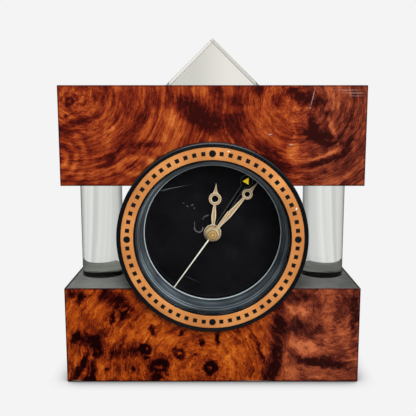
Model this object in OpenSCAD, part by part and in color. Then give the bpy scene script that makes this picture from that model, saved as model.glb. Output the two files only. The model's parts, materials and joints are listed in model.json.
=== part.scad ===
// Post-modern mantel clock: two burl-faced blocks, two clear columns, a clear
// roof prism and a round quartz alarm clock held between the blocks.
// Frame: origin at the centre of the resting face, X to the right, Y into the
// clock (the dial faces -Y), Z up. Units are millimetres.

/* [Blocks] */
// Depth of both blocks, front to back
block_d = 64; // [58:0.5:80]
// Height of the upper block
block_h = 49.6; // [44:0.2:62]
// Height of the lower block
base_h = 50.4; // [44:0.2:62]
// Clear height between the blocks
block_gap = 52.9; // [44:0.1:64]
// Thickness of the burl facing
veneer_t = 1.2; // [0.6:0.1:2]
// Thickness of the charcoal laminate on the top and under faces
laminate_t = 0.8; // [0.5:0.1:1.5]
// Thickness of the felt under the base
felt_t = 1; // [0.5:0.1:2]
// Depth that the felt is let into the base
felt_recess = 0.8; // [0.2:0.1:0.9]
// Distance of the felt from the block's edges
felt_inset = 4; // [2:0.5:10]

/* [Columns and roof] */
// Diameter of the clear columns
column_d = 22.7; // [16:0.1:24]
// Gap between the clock case and each column
column_gap = 1.75; // [1:0.05:12]
// Distance from each column to the end of the block
column_margin = 3.45; // [2:0.05:20]
// Depth that a column is let into each block
column_seat = 3; // [1.5:0.5:6]
// Width of the roof prism along its base
prism_w = 49.6; // [36:0.1:64]
// Height of the roof prism
prism_h = 24.3; // [18:0.1:32]
// Length of the roof prism, front to back
prism_l = 32; // [22:0.5:44]

/* [Clock case] */
// Outer diameter of the clock case
case_d = 96.6; // [96:0.1:120]
// Wall of the clock case
case_wall = 2.5; // [1.8:0.1:3]
// How far the bezel stands out of the blocks
bezel_proud = 4.7; // [3:0.1:7]
// Width of the case's black lip round the chapter ring
lip_w = 2.3; // [1.5:0.1:2.8]
// Width of the chapter ring
ring_band = 6.25; // [5:0.05:7.5]
// Thickness of the chapter ring
ring_t = 1; // [0.6:0.1:1.6]
// Thickness of the lens
lens_t = 1.5; // [1:0.1:2]
// How far the cone narrows from the chapter ring to its rim
cone_in = 4; // [3:0.1:5]
// Depth of the cone, from the lens seat to the rim
cone_h = 14.1; // [12.5:0.1:16]

/* [Markers] */
// Number of markers round the chapter ring
markers = 60; // [12:12:60]
// Side of a square minute marker
marker_side = 2.05; // [1:0.05:2.6]
// Diameter of a round quarter marker
quarter_d = 3.4; // [2:0.1:4.4]
// Thickness of the printed ink
ink_t = 0.08; // [0.04:0.02:0.2]

/* [Hands] */
// Length of the hour hand from its centre
hour_len = 26.3; // [20:0.1:29]
// Clearance between the minute hand's tip and the rim
minute_gap = 0.45; // [0.3:0.05:6]
// Clearance between the second hand's tip and the rim
second_gap = 0.75; // [0.5:0.05:8]
// Length of the second hand's tail
second_tail = 14.6; // [6:0.1:20]
// Clearance between the alarm hand's disc and the bezel
alarm_gap = 1.1; // [0.5:0.05:8]
// Clock angle of the hour hand, clockwise from twelve
hour_angle = 4.5; // [0:0.5:360]
// Clock angle of the minute hand
minute_angle = 41.2; // [0:0.1:360]
// Clock angle of the second hand
second_angle = 215.2; // [0:0.1:360]
// Clock angle of the alarm hand
alarm_angle = 33.2; // [0:0.1:360]
// Thickness of the stamped hands
hand_t = 0.35; // [0.2:0.05:0.45]

/* [Back] */
// Diameter of the setting knobs
knob_d = 9; // [7:0.1:9]
// Height of the setting knobs
knob_h = 6; // [4:0.5:10]
// Travel of the alarm switch
switch_travel = 5; // [3:0.5:6]

/* [Hidden] */
$fn = 96;

// --- clearances -----------------------------------------------------------
glue_gap = 0.1;      // round pieces glued into their seats
run_gap = 0.05;      // radial clearance of a running shaft
loose_gap = 0.3;     // moving pieces passing fixed ones
eps = 0.01;          // cutters reach this far past a face

// --- standard bought-in pieces: a 56 mm movement and an AA cell -------------
movement_side = 56;
shell_t = 1.5;
battery_d = 14.5;
battery_l = 50.5;

// --- blocks ---------------------------------------------------------------
case_r = case_d / 2;
column_x = case_r + column_gap + column_d / 2;
block_w = 2 * (column_x + column_d / 2 + column_margin);
base_bottom = felt_t - felt_recess;
base_top = base_bottom + base_h;
upper_bottom = base_top + block_gap;
upper_top = upper_bottom + block_h;
front_y = -block_d / 2;
drum_z = (base_top + upper_bottom) / 2;

// --- clock frame: x right, y up, z towards the viewer, 0 at mid depth ------
case_bore = case_r - case_wall;
bezel_front = block_d / 2 + bezel_proud;
bezel_flange = 6.7;                       // height of the bezel's flange
bezel_back = bezel_front - bezel_flange;  // where the flange meets the case
ring_or = case_r - lip_w;
ring_ir = ring_or - ring_band;
ring_face = bezel_front - 0.2;
ring_floor = ring_face - ring_t;
marker_r = (ring_or + ring_ir) / 2;
lens_r = ring_ir - 0.55;
lens_seat = bezel_front - 3.1;
rim_r = ring_ir - cone_in;
rim_z = lens_seat - cone_h;
dial_z = rim_z - 3.2;                     // front face of the dial
dial_t = 1;
plate_front = dial_z - dial_t - 2;        // front face of the movement
plate_t = 2;
shell_front = plate_front - plate_t;      // inner face of the front plate
shell_back = shell_front - 15.3;          // inner face of the rear shell
movement_back = shell_back - shell_t;
cover_t = 2.5;
cover_in = movement_back - 1.5;           // inner face of the rear cover
cover_out = cover_in - cover_t;
half_side = movement_side / 2;
inner_side = half_side - shell_t;
boss_ring = case_bore - 2.8;              // circle of the rear cover's screws
screw_r = 1.4;

// --- arbors and pipes, from the centre outwards ----------------------------
second_arbor = 0.7;
minute_pipe = 1.6;
hour_pipe = 2.3;
alarm_pipe = 2.95;
bush_r = 3.8;
pivot_r = 0.5;
stem_r = 1.5;

// --- reach of the hands, and their levels measured from the dial -------------
tuck = 1.25;                              // the bezel's sleeve stands back behind the rim
alarm_disc_r = 3.3;
minute_len = rim_r - minute_gap;
second_len = rim_r - second_gap;
alarm_len = rim_r + tuck - alarm_gap - alarm_disc_r;
alarm_level = dial_z + 0.9;
hour_level = dial_z + 2.5;
minute_level = dial_z + 4.2;
second_level = dial_z + 6.7;
cap_front = dial_z + 8.3;

// --- gear train: teeth, modules and places ---------------------------------
gear_t = 1.4;
layer_step = 1.9;
function layer(n) = shell_front - 0.5 - gear_t - n * layer_step;
alarm_layer = layer(0);
hour_layer = layer(1);
minute_layer = layer(2);
centre_layer = layer(3);
third_layer = layer(4);
second_layer = layer(5);
rotor_layer = layer(6);

hour_teeth = 48;
minute_pinion_teeth = 12;
cannon_teeth = 15;
minute_teeth = 45;
time_teeth = 20;
motion_m = 0.4;
alarm_teeth = 48;
alarm_set_teeth = 24;
centre_teeth = 64;
third_pinion_teeth = 8;
third_teeth = 60;
second_pinion_teeth = 8;
second_teeth = 50;
inter_pinion_teeth = 10;
inter_teeth = 48;
rotor_teeth = 8;

motion_c = motion_m * (cannon_teeth + minute_teeth) / 2;
third_c = 11;
third_m = 2 * third_c / (second_pinion_teeth + third_teeth);
centre_m = 2 * third_c / (third_pinion_teeth + centre_teeth);
inter_m = 0.36;
inter_c = inter_m * (inter_pinion_teeth + second_teeth) / 2;
rotor_m = 0.3;
rotor_c = rotor_m * (rotor_teeth + inter_teeth) / 2;
time_c = motion_m * (minute_teeth + time_teeth) / 2;
alarm_c = motion_m * (alarm_teeth + alarm_set_teeth) / 2;

minute_dir = 20;
time_dir = -50;
third_dir = 140;
inter_dir = 75;
rotor_dir = 60;
alarm_dir = 200;

function polar(r, a) = [r * cos(a), r * sin(a)];
minute_at = polar(motion_c, minute_dir);
time_at = minute_at + polar(time_c, time_dir);
third_at = polar(third_c, third_dir);
inter_at = polar(inter_c, inter_dir);
rotor_at = inter_at + polar(rotor_c, rotor_dir);
alarm_at = polar(alarm_c, alarm_dir);

// --- battery bay -----------------------------------------------------------
battery_at = [-half_side + shell_t + 0.45 + battery_d / 2, shell_front - 0.65 - battery_d / 2];
bay_top = battery_at[0] + battery_d / 2 + 0.05;
bay_wall = 0.9;
bay_low = -inner_side;
bay_half = inner_side - 0.2;
door_lip = 0.8;
door_t = 1.2;

// --- places on the rear cover ----------------------------------------------
switch_y = movement_side / 2 + 6;
switch_slot = [switch_travel + 4, 3.6];
buzzer_at = [17, 16];
buzzer_r = 8;
board_at = [-8, 22.5];
board_size = [28, 7.6];
coil_y = 23.6;
coil_z = shell_front - 2.6;
coil_r = 2.5;
core_r = 1;

// ===========================================================================
// Helpers
// ===========================================================================

// Puts children from the clock frame into the row's frame.
module in_clock() {
  translate([0, 0, drum_z]) rotate([90, 0, 0]) children();
}

module at(p, z = 0) {
  translate([p[0], p[1], z]) children();
}

// Round bar from z0 to z1.
module bar(r, z0, z1) {
  translate([0, 0, z0]) cylinder(r = r, h = z1 - z0);
}

// Round tube from z0 to z1.
module tube(ro, ri, z0, z1) {
  difference() {
    bar(ro, z0, z1);
    bar(ri, z0 - 1, z1 + 1);
  }
}

// Box between two corners.
module block(low, high) {
  translate(low) cube([high[0] - low[0], high[1] - low[1], high[2] - low[2]]);
}

function involute(a) = tan(a) * 180 / PI - a;
function half_tooth(rb, r, pitch_half) =
  r <= rb ? pitch_half + involute(20) : pitch_half + involute(20) - involute(acos(rb / r));

// Outline of a spur gear with a tooth centred on the angle phase.
function gear_outline(teeth, m, phase, play, addendum, dedendum) =
  let (
    rp = m * teeth / 2,
    rb = rp * cos(20),
    tip = rp + addendum * m,
    root = rp - dedendum * m,
    pitch_half = 90 / teeth - play / 2 / rp * 180 / PI,
    radii = root < rb ? [root, rb, rp, tip] : [root, rp, tip],
    n = len(radii)
  )
  [for (i = [0 : teeth - 1]) for (k = [0 : 2 * n - 1])
    let (
      up = k < n,
      r = up ? radii[k] : radii[2 * n - 1 - k],
      a = half_tooth(rb, r, pitch_half) * (up ? -1 : 1)
    )
    polar(r, phase + i * 360 / teeth + a)];

module spur(teeth, m, z, phase = 0, play = 0.07, addendum = 0.8, dedendum = 1.2) {
  translate([0, 0, z]) linear_extrude(gear_t)
    polygon(gear_outline(teeth, m, phase, play, addendum, dedendum));
}

// Phase of a gear that meshes with a gear of za teeth and phase pa, in direction dir from it.
function mesh_phase(za, pa, zb, dir) = dir + 180 - (pa - dir) * za / zb + 180 / zb;

// Turns a hand drawn towards twelve to its clock angle.
module at_clock_angle(a) {
  rotate([0, 0, -a]) children();
}

// Outline of a blade along +y: points of [distance, half width].
module blade(stations) {
  polygon(concat(
    [for (s = stations) [s[1], s[0]]],
    [for (i = [len(stations) - 1 : -1 : 0]) [-stations[i][1], stations[i][0]]]
  ));
}

// ===========================================================================
// Blocks
// ===========================================================================

module drum_cut(extra = glue_gap) {
  in_clock() bar(case_r + extra, -block_d, block_d);
}

module column_cut(side, z0, z1) {
  translate([side * column_x, 0, z0]) cylinder(d = column_d + 2 * glue_gap, h = z1 - z0);
}

module block_core(z0, z1, seat0, seat1) {
  color("#141416") difference() {
    block([-block_w / 2 + veneer_t, front_y + veneer_t, z0], [block_w / 2 - veneer_t, block_d / 2, z1]);
    drum_cut();
    for (side = [-1, 1]) column_cut(side, seat0, seat1);
  }
}

module front_veneer(z0, h) {
  color("#8a3f14") difference() {
    block([-block_w / 2, front_y, z0], [block_w / 2, front_y + veneer_t, z0 + h]);
    drum_cut();
  }
}

module end_veneer(side, z0, h) {
  x = side * (block_w / 2 - veneer_t / 2);
  color("#8a3f14") block([x - veneer_t / 2, front_y + veneer_t, z0], [x + veneer_t / 2, block_d / 2, z0 + h]);
}

// Charcoal laminate beside the case, on one side of it.
module side_laminate(side, z0) {
  x_out = block_w / 2 - veneer_t;
  color("#3c3d3b") difference() {
    block([side > 0 ? 0 : -x_out, front_y + veneer_t, z0], [side > 0 ? x_out : 0, block_d / 2, z0 + laminate_t]);
    drum_cut();
    column_cut(side, z0 - 1, z0 + laminate_t + 1);
  }
}

module felt_outline(z0, z1) {
  x = block_w / 2 - felt_inset;
  y = block_d / 2 - felt_inset;
  block([-x, -y, z0], [x, y, z1]);
}

module base_core() {
  color("#141416") difference() {
    block_core(base_bottom, base_top - laminate_t, base_top - column_seat, base_top);
    felt_outline(base_bottom - 1, felt_t);
  }
}

module top_core() {
  block_core(upper_bottom + laminate_t, upper_top - laminate_t, upper_bottom, upper_bottom + column_seat);
}

module base_felt() {
  color("#1b1b1b") felt_outline(0, felt_t);
}

module top_cap_laminate() {
  x = block_w / 2 - veneer_t;
  color("#3c3d3b") block([-x, front_y + veneer_t, upper_top - laminate_t], [x, block_d / 2, upper_top]);
}

module column(side) {
  color("#e6e8e6", 0.5) translate([side * column_x, 0, base_top - column_seat])
    cylinder(d = column_d, h = block_gap + 2 * column_seat);
}

module roof_prism() {
  color("#e6e6dc", 0.5) translate([0, prism_l / 2, upper_top]) rotate([90, 0, 0])
    linear_extrude(prism_l) polygon([[-prism_w / 2, 0], [prism_w / 2, 0], [0, prism_h]]);
}

// ===========================================================================
// Clock case
// ===========================================================================

module screw_places() {
  for (a = [90, 210, 330]) at(polar(boss_ring, a)) children();
}

module drum_case() {
  color("#101214") in_clock() difference() {
    union() {
      tube(case_r, case_bore, cover_out, bezel_back);
      tube(case_bore + eps, case_bore - 3.3, dial_z - dial_t - 2, dial_z - dial_t);
      intersection() {
        screw_places() bar(3.2, cover_in, dial_z - dial_t - 2);
        bar(case_bore + eps, cover_in, dial_z);
      }
    }
    screw_places() bar(screw_r, cover_in - 1, cover_in + 7);
  }
}

// Section of the bezel: flange, ring recess, lens seat, cone, rim and spigot.
bezel_lip = ring_or + 0.05;
round_r = case_r - bezel_lip - 0.3;
lens_bore = lens_r + glue_gap;
ledge_r = lens_bore - 0.6;
rim_round = 0.8;
sleeve_t = 2.2;
spigot_r = case_bore - 0.05;
bezel_outline = concat(
  [[case_r, bezel_back]],
  [for (a = [0 : 10 : 90]) [case_r - round_r + round_r * cos(a), bezel_front - round_r + round_r * sin(a)]],
  [
    [bezel_lip, bezel_front], [bezel_lip, ring_floor],
    [ring_ir - 0.05, ring_floor], [ring_ir - 0.05, ring_face - 0.3],
    [lens_bore, ring_face - 0.3], [lens_bore, lens_seat], [ledge_r, lens_seat]
  ],
  [for (a = [20 : 20 : 100]) [rim_r + rim_round - rim_round * sin(a), rim_z + rim_round * cos(a)]],
  [
    [rim_r + 0.2, rim_z - 0.9], [rim_r + tuck, rim_z - 1.2], [rim_r + tuck, dial_z],
    [rim_r + tuck + sleeve_t, dial_z], [rim_r + tuck + sleeve_t, rim_z],
    [ledge_r + sleeve_t, bezel_back - 1], [spigot_r - sleeve_t, bezel_back - 1],
    [spigot_r - sleeve_t, bezel_back - 4], [spigot_r, bezel_back - 4], [spigot_r, bezel_back]
  ]
);

module bezel() {
  color("#101214") in_clock() rotate_extrude() polygon(bezel_outline);
}

module chapter_ring() {
  color("#d08d4c") in_clock() tube(ring_or, ring_ir, ring_floor, ring_face);
}

module minute_markers() {
  color("#0c0d0e") in_clock() for (i = [0 : markers - 1])
    if (i % (markers / 4) != 0) rotate([0, 0, i * 360 / markers])
      translate([-marker_side / 2, marker_r - marker_side / 2, ring_face]) cube([marker_side, marker_side, ink_t]);
}

module quarter_markers() {
  color("#0c0d0e") in_clock() for (i = [0 : 3]) rotate([0, 0, i * 90])
    translate([0, marker_r, ring_face]) cylinder(d = quarter_d, h = ink_t);
}

module lens() {
  color("#f0f4f4", 0.3) in_clock() bar(lens_r, lens_seat, lens_seat + lens_t);
}

module dial() {
  color("#08090a") in_clock() tube(case_bore - 0.2, bush_r + glue_gap, dial_z - dial_t, dial_z);
}

module cover_hole(p, r) {
  at(p) bar(r, cover_out - 1, cover_in + 1);
}

module rear_cover() {
  posts = half_side - 4;
  color("#141618") in_clock() difference() {
    union() {
      bar(case_bore - glue_gap, cover_out, cover_in);
      for (x = [-posts, posts], y = [0, posts]) at([x, y]) bar(2, cover_in - eps, movement_back);
    }
    screw_places() bar(screw_r + 0.2, cover_out - 1, cover_in + 1);
    cover_hole(time_at, stem_r + loose_gap);
    cover_hole(alarm_at, stem_r + loose_gap);
    at([0, switch_y]) block([-switch_slot[0] / 2, -switch_slot[1] / 2, cover_out - 1],
      [switch_slot[0] / 2, switch_slot[1] / 2, cover_in + 1]);
    block([-bay_half, bay_low, cover_out - 1], [bay_half, bay_top - 0.2, cover_in + 1]);
    block([-bay_half - door_lip, bay_low - door_lip, cover_out - 1],
      [bay_half + door_lip, bay_top + 0.3, cover_out + door_t]);
    at(buzzer_at) for (i = [0 : 5]) at(polar(4, i * 60)) bar(0.9, cover_out - 1, cover_in + 1);
    at(buzzer_at) bar(0.9, cover_out - 1, cover_in + 1);
  }
}

module rear_cover_screws() {
  color("#8d8f91") in_clock() screw_places() difference() {
    union() {
      bar(2.6, cover_out - 1.4, cover_out);
      bar(screw_r, cover_out - eps, cover_in + 6);
    }
    for (a = [0, 90]) rotate([0, 0, a])
      block([-1.6, -0.3, cover_out - 2], [1.6, 0.3, cover_out - 0.7]);
  }
}

module battery_door() {
  g = 0.15;
  color("#1a1c1e") in_clock() difference() {
    block([-bay_half - door_lip + g, bay_low - door_lip + g, cover_out],
      [bay_half + door_lip - g, bay_top + 0.3 - g, cover_out + door_t - g]);
    for (i = [-2 : 2]) translate([0, bay_top - 3 + i * 0.9, 0])
      block([-6, -0.25, cover_out - 1], [6, 0.25, cover_out + 0.4]);
  }
}

// ===========================================================================
// Hands
// ===========================================================================

module stamped(level, bore) {
  in_clock() translate([0, 0, level]) linear_extrude(hand_t) difference() {
    children();
    circle(r = bore);
  }
}

// A lance with an open ring near its tip.
module lance(len, ring_at, ring_r, hole_r, waist, belly, boss_r) {
  foot = boss_r - 1;
  reach = ring_at - ring_r;
  difference() {
    union() {
      circle(r = boss_r);
      blade([[foot, waist], [foot + (reach - foot) * 0.4, belly], [foot + (reach - foot) * 0.75, belly * 0.85],
        [reach + 0.6, waist * 0.9]]);
      translate([0, ring_at]) circle(r = ring_r);
      blade([[ring_at + ring_r - 0.5, ring_r * 0.42], [ring_at + ring_r + 1.4, 0.75], [len, 0.12]]);
    }
    translate([0, ring_at]) circle(r = hole_r);
  }
}

module hour_hand() {
  color("#c8a97e") stamped(hour_level, hour_pipe) at_clock_angle(hour_angle)
    lance(hour_len, hour_len - 8.1, 3.5, 1.85, 0.95, 1.4, 4.85);
}

module minute_hand() {
  color("#c8a97e") stamped(minute_level, minute_pipe) at_clock_angle(minute_angle)
    lance(minute_len, minute_len - 7.7, 2.9, 1.45, 0.95, 1.5, 4.3);
}

module second_hand() {
  color("#e8dcc0") stamped(second_level, second_arbor) at_clock_angle(second_angle) union() {
    circle(r = 2.2);
    blade([[-second_tail, 0.75], [-2, 0.5], [2, 0.45], [second_len, 0.22]]);
  }
}

module second_hand_cap() {
  color("#c9a86a") in_clock() difference() {
    union() {
      bar(2.95, second_level + hand_t, cap_front);
      bar(1.5, cap_front - eps, cap_front + 0.25);
    }
    bar(second_arbor, second_level, cap_front - 0.5);
  }
}

module alarm_hand() {
  color("#050505") stamped(alarm_level, alarm_pipe) at_clock_angle(alarm_angle) union() {
    circle(r = 4.2);
    blade([[0, 1.1], [alarm_len, 1.1]]);
    translate([0, alarm_len]) circle(r = alarm_disc_r);
  }
}

// Printed arrow on the alarm hand's tip. It points to the left of the dial.
module alarm_arrow() {
  arrow_r = 2.15;
  color("#f0cf1c") in_clock() at_clock_angle(alarm_angle) translate([0, alarm_len, alarm_level + hand_t])
    rotate([0, 0, alarm_angle]) linear_extrude(ink_t)
      polygon([for (a = [180, 300, 60]) polar(arrow_r, a)]);
}

// ===========================================================================
// Movement
// ===========================================================================

pad_x = 12;
pad_y = half_side - 4;
fixing_corner = inner_side - 2.2;
fixing_places = [[-fixing_corner, fixing_corner], [fixing_corner, fixing_corner],
  [-fixing_corner, bay_top + bay_wall + 2.2], [fixing_corner, bay_top + bay_wall + 10]];

module arbor_places() {
  for (p = [minute_at, third_at, inter_at, rotor_at]) at(p) children();
}

module movement_front_plate() {
  color("#2a2c2e") in_clock() difference() {
    union() {
      block([-half_side, -half_side, shell_front], [half_side, half_side, plate_front]);
      bar(bush_r, plate_front - eps, dial_z + 0.5);
      for (x = [-pad_x, pad_x], y = [-pad_y, pad_y]) at([x, y]) bar(3, plate_front - eps, dial_z - dial_t);
    }
    bar(alarm_pipe + run_gap, shell_front - 1, dial_z + 1);
    arbor_places() bar(pivot_r + run_gap, shell_front - 1, shell_front + 1.2);
    at(time_at) bar(pivot_r + run_gap, shell_front - 1, shell_front + 1.2);
    at(alarm_at) bar(pivot_r + run_gap, shell_front - 1, shell_front + 1.2);
    for (p = fixing_places) at(p) bar(0.9, shell_front - 1, plate_front + 1);
  }
}

module movement_rear_shell() {
  color("#34373a") in_clock() difference() {
    union() {
      difference() {
        block([-half_side, -half_side, movement_back], [half_side, half_side, shell_front]);
        block([-inner_side, -inner_side, shell_back], [inner_side, inner_side, shell_front + 1]);
      }
      block([-inner_side - eps, bay_top, shell_back - eps], [inner_side + eps, bay_top + bay_wall, shell_front]);
      for (p = fixing_places) at(p) bar(2, shell_back - eps, shell_front);
    }
    block([-bay_half, bay_low, movement_back - 1], [bay_half, bay_top - 0.2, shell_back + 1]);
    arbor_places() bar(pivot_r + run_gap, shell_back - 1, shell_back + 1);
    bar(pivot_r + run_gap, shell_back - 1, shell_back + 1);
    at(time_at) bar(stem_r + run_gap, movement_back - 1, shell_back + 1);
    at(alarm_at) bar(stem_r + run_gap, movement_back - 1, shell_back + 1);
    at(buzzer_at) bar(buzzer_r - 1.5, movement_back - 1, shell_back + 1);
    for (p = fixing_places) at(p) bar(0.8, shell_front - 7, shell_front + 1);
  }
}

module movement_screws() {
  color("#9a9c9e") in_clock() for (p = fixing_places) at(p) {
    bar(1.5, plate_front, plate_front + 0.7);
    bar(0.8, shell_front - 6, plate_front + eps);
  }
}

// Wheel on a pipe: the pipe runs from the wheel's back to the front.
module pipe_wheel(teeth, m, z, phase, ro, ri, top) {
  difference() {
    union() {
      spur(teeth, m, z, phase);
      bar(ro, z, top);
    }
    bar(ri, z - 1, top + 1);
  }
}

// Wheel and pinion on one arbor with a pivot at each end.
module arbor(body_r = 0.8) {
  bar(pivot_r, shell_back - 0.8, shell_front + 1);
  bar(body_r, shell_back + 0.3, shell_front - 0.3);
}

hour_phase = minute_dir;
alarm_phase = alarm_dir;
cannon_phase = minute_dir;
minute_phase = mesh_phase(cannon_teeth, cannon_phase, minute_teeth, minute_dir);
centre_phase = third_dir;
second_pinion_phase = third_dir;
second_phase = inter_dir;
inter_phase = rotor_dir;

module alarm_wheel() {
  color("#d9d4c4") in_clock()
    pipe_wheel(alarm_teeth, motion_m, alarm_layer, alarm_phase, alarm_pipe, hour_pipe + run_gap, alarm_level + hand_t);
}

module hour_wheel() {
  color("#d9d4c4") in_clock()
    pipe_wheel(hour_teeth, motion_m, hour_layer, hour_phase, hour_pipe, minute_pipe + run_gap, hour_level + hand_t);
}

module cannon_pinion() {
  color("#c9a54a") in_clock() difference() {
    union() {
      spur(cannon_teeth, motion_m, minute_layer, cannon_phase);
      bar(minute_pipe, centre_layer - 0.2, minute_level + hand_t);
    }
    bar(second_arbor + run_gap, centre_layer - 1, minute_level + 1);
  }
}

module minute_wheel() {
  color("#d9d4c4") in_clock() at(minute_at) {
    spur(minute_teeth, motion_m, minute_layer, minute_phase);
    spur(minute_pinion_teeth, motion_m, hour_layer, mesh_phase(hour_teeth, hour_phase, minute_pinion_teeth, minute_dir));
    arbor();
  }
}

// Rides on the minute pipe as the slipping half of the setting clutch.
module centre_wheel() {
  color("#c9a54a") in_clock() difference() {
    spur(centre_teeth, centre_m, centre_layer, centre_phase);
    bar(minute_pipe + run_gap, centre_layer - 1, centre_layer + gear_t + 1);
  }
}

module third_wheel() {
  color("#d9d4c4") in_clock() at(third_at) {
    spur(third_teeth, third_m, third_layer, mesh_phase(second_pinion_teeth, second_pinion_phase, third_teeth, third_dir));
    spur(third_pinion_teeth, centre_m, centre_layer, mesh_phase(centre_teeth, centre_phase, third_pinion_teeth, third_dir));
    bar(pivot_r, shell_back - 0.8, shell_front + 1);
  }
}

module second_wheel() {
  color("#d9d4c4") in_clock() {
    spur(second_teeth, inter_m, second_layer, second_phase);
    spur(second_pinion_teeth, third_m, third_layer, second_pinion_phase);
    bar(second_arbor, second_layer, cap_front - 0.5);
    bar(pivot_r, shell_back - 0.8, second_layer + eps);
  }
}

module intermediate_wheel() {
  color("#d9d4c4") in_clock() at(inter_at) {
    spur(inter_teeth, rotor_m, rotor_layer, inter_phase);
    spur(inter_pinion_teeth, inter_m, second_layer, mesh_phase(second_teeth, second_phase, inter_pinion_teeth, inter_dir));
    bar(pivot_r, shell_back - 0.8, shell_front + 1);
  }
}

magnet_r = 2.4;
magnet_z = shell_front - 4.1;
magnet_h = 3;

module rotor() {
  color("#e8e6de") in_clock() at(rotor_at) {
    spur(rotor_teeth, rotor_m, rotor_layer, mesh_phase(inter_teeth, inter_phase, rotor_teeth, rotor_dir));
    bar(pivot_r, shell_back - 0.8, shell_front + 1);
  }
}

module rotor_magnet() {
  color("#3a3a3c") in_clock() at(rotor_at) tube(magnet_r, pivot_r, magnet_z, magnet_z + magnet_h);
}

stator_t = 1;
stator_half = 17;
leg_w = 5;
stator_low = rotor_at[1] - 3.6;

module stator() {
  z = coil_z - stator_t / 2;
  color("#a8aaac") in_clock() difference() {
    union() {
      block([-stator_half, stator_low, z], [stator_half, stator_low + 5.6, z + stator_t]);
      for (s = [-1, 1]) translate([s * (stator_half - leg_w / 2), 0, 0])
        block([-leg_w / 2, stator_low, z], [leg_w / 2, coil_y + 2.4, z + stator_t]);
      translate([-stator_half + leg_w - eps, coil_y, coil_z]) rotate([0, 90, 0])
        cylinder(r = core_r, h = 2 * (stator_half - leg_w + eps));
    }
    at(rotor_at) bar(magnet_r + 0.5, z - 1, z + 2);
  }
}

module coil() {
  half = stator_half - leg_w - 0.1;
  color("#b4632f") in_clock() translate([-half, coil_y, coil_z]) rotate([0, 90, 0]) difference() {
    union() {
      cylinder(r = coil_r - 0.3, h = 2 * half);
      cylinder(r = coil_r, h = 0.8);
      translate([0, 0, 2 * half - 0.8]) cylinder(r = coil_r, h = 0.8);
    }
    translate([0, 0, -1]) cylinder(r = core_r, h = 2 * half + 2);
  }
}

board_front = shell_back + 1.2;

module circuit_board() {
  color("#2e6b3a") in_clock()
    block([board_at[0] - board_size[0] / 2, board_at[1] - board_size[1] / 2, shell_back],
      [board_at[0] + board_size[0] / 2, board_at[1] + board_size[1] / 2, board_front]);
}

module quartz_crystal() {
  color("#c4c6c8") in_clock() translate([board_at[0] - 11, board_at[1] + 1.4, board_front + 1]) rotate([0, 90, 0])
    cylinder(r = 1, h = 6.2);
}

module driver_chip() {
  color("#0b0b0c") in_clock() translate([board_at[0] + 2.5, board_at[1], board_front])
    cylinder(r1 = 2.8, r2 = 1.8, h = 1.1);
}

module buzzer() {
  color("#c8a24a") in_clock() at(buzzer_at) {
    bar(buzzer_r, shell_back, shell_back + 0.6);
    bar(buzzer_r - 2.5, shell_back + 0.6 - eps, shell_back + 0.9);
  }
}

module battery() {
  can = battery_l - 1.4;
  color("#2f3236") in_clock() translate([-battery_l / 2, battery_at[0], battery_at[1]]) rotate([0, 90, 0]) {
    cylinder(d = battery_d, h = can);
    translate([0, 0, can - eps]) cylinder(d = 5.4, h = 1.4 + eps);
  }
}

module battery_contact(side) {
  x0 = battery_l / 2;
  plate = 0.4;
  w = 4.5;
  color("#b8babc") in_clock() mirror([side > 0 ? 0 : 1, 0, 0]) union() {
    block([x0, battery_at[0] - w, battery_at[1] - w], [x0 + plate, battery_at[0] + w, battery_at[1] + w]);
    block([x0 + plate - eps, battery_at[0] - 1.5, battery_at[1] - 2],
      [inner_side, battery_at[0] + 1.5, battery_at[1] + 2]);
  }
}

// Setting gear with its stem, which carries the knob behind the rear cover.
module setting_gear(p, teeth, z, phase) {
  color("#d9d4c4") in_clock() at(p) {
    spur(teeth, motion_m, z, phase);
    bar(pivot_r, z, shell_front + 1);
    bar(stem_r, knob_base - knob_h + 1.5, z + eps);
  }
}

knob_base = cover_out - 0.5;

module time_set_gear() {
  setting_gear(time_at, time_teeth, minute_layer, mesh_phase(minute_teeth, minute_phase, time_teeth, time_dir));
}

module alarm_set_gear() {
  setting_gear(alarm_at, alarm_set_teeth, alarm_layer, mesh_phase(alarm_teeth, alarm_phase, alarm_set_teeth, alarm_dir));
}

// Round knob with finger flutes and a blind bore for its stem.
module setting_knob(p) {
  flutes = 16;
  color("#1d1f21") in_clock() at(p) difference() {
    bar(knob_d / 2, knob_base - knob_h, knob_base);
    for (i = [0 : flutes - 1]) at(polar(knob_d / 2 + 0.25, i * 360 / flutes))
      bar(0.6, knob_base - knob_h - 1, knob_base - 1);
    bar(stem_r, knob_base - knob_h + 1.5, knob_base + 1);
  }
}

// Slider with its button in the cover's slot, shown in the off position.
module alarm_switch() {
  w = switch_slot[0] - switch_travel - 0.4;
  x0 = -switch_slot[0] / 2 + 0.2;
  h = switch_slot[1] / 2 - 0.2;
  color("#c83a2a") in_clock() at([0, switch_y]) union() {
    block([x0, -h, cover_out - 1.8], [x0 + w, h, cover_in + 0.2 + eps]);
    block([x0 - 1.5, -h - 1.2, cover_in + 0.2], [x0 + w + 1.5, h + 1.2, cover_in + 1.3]);
  }
}

// ===========================================================================
// Nodes
// ===========================================================================

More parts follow.
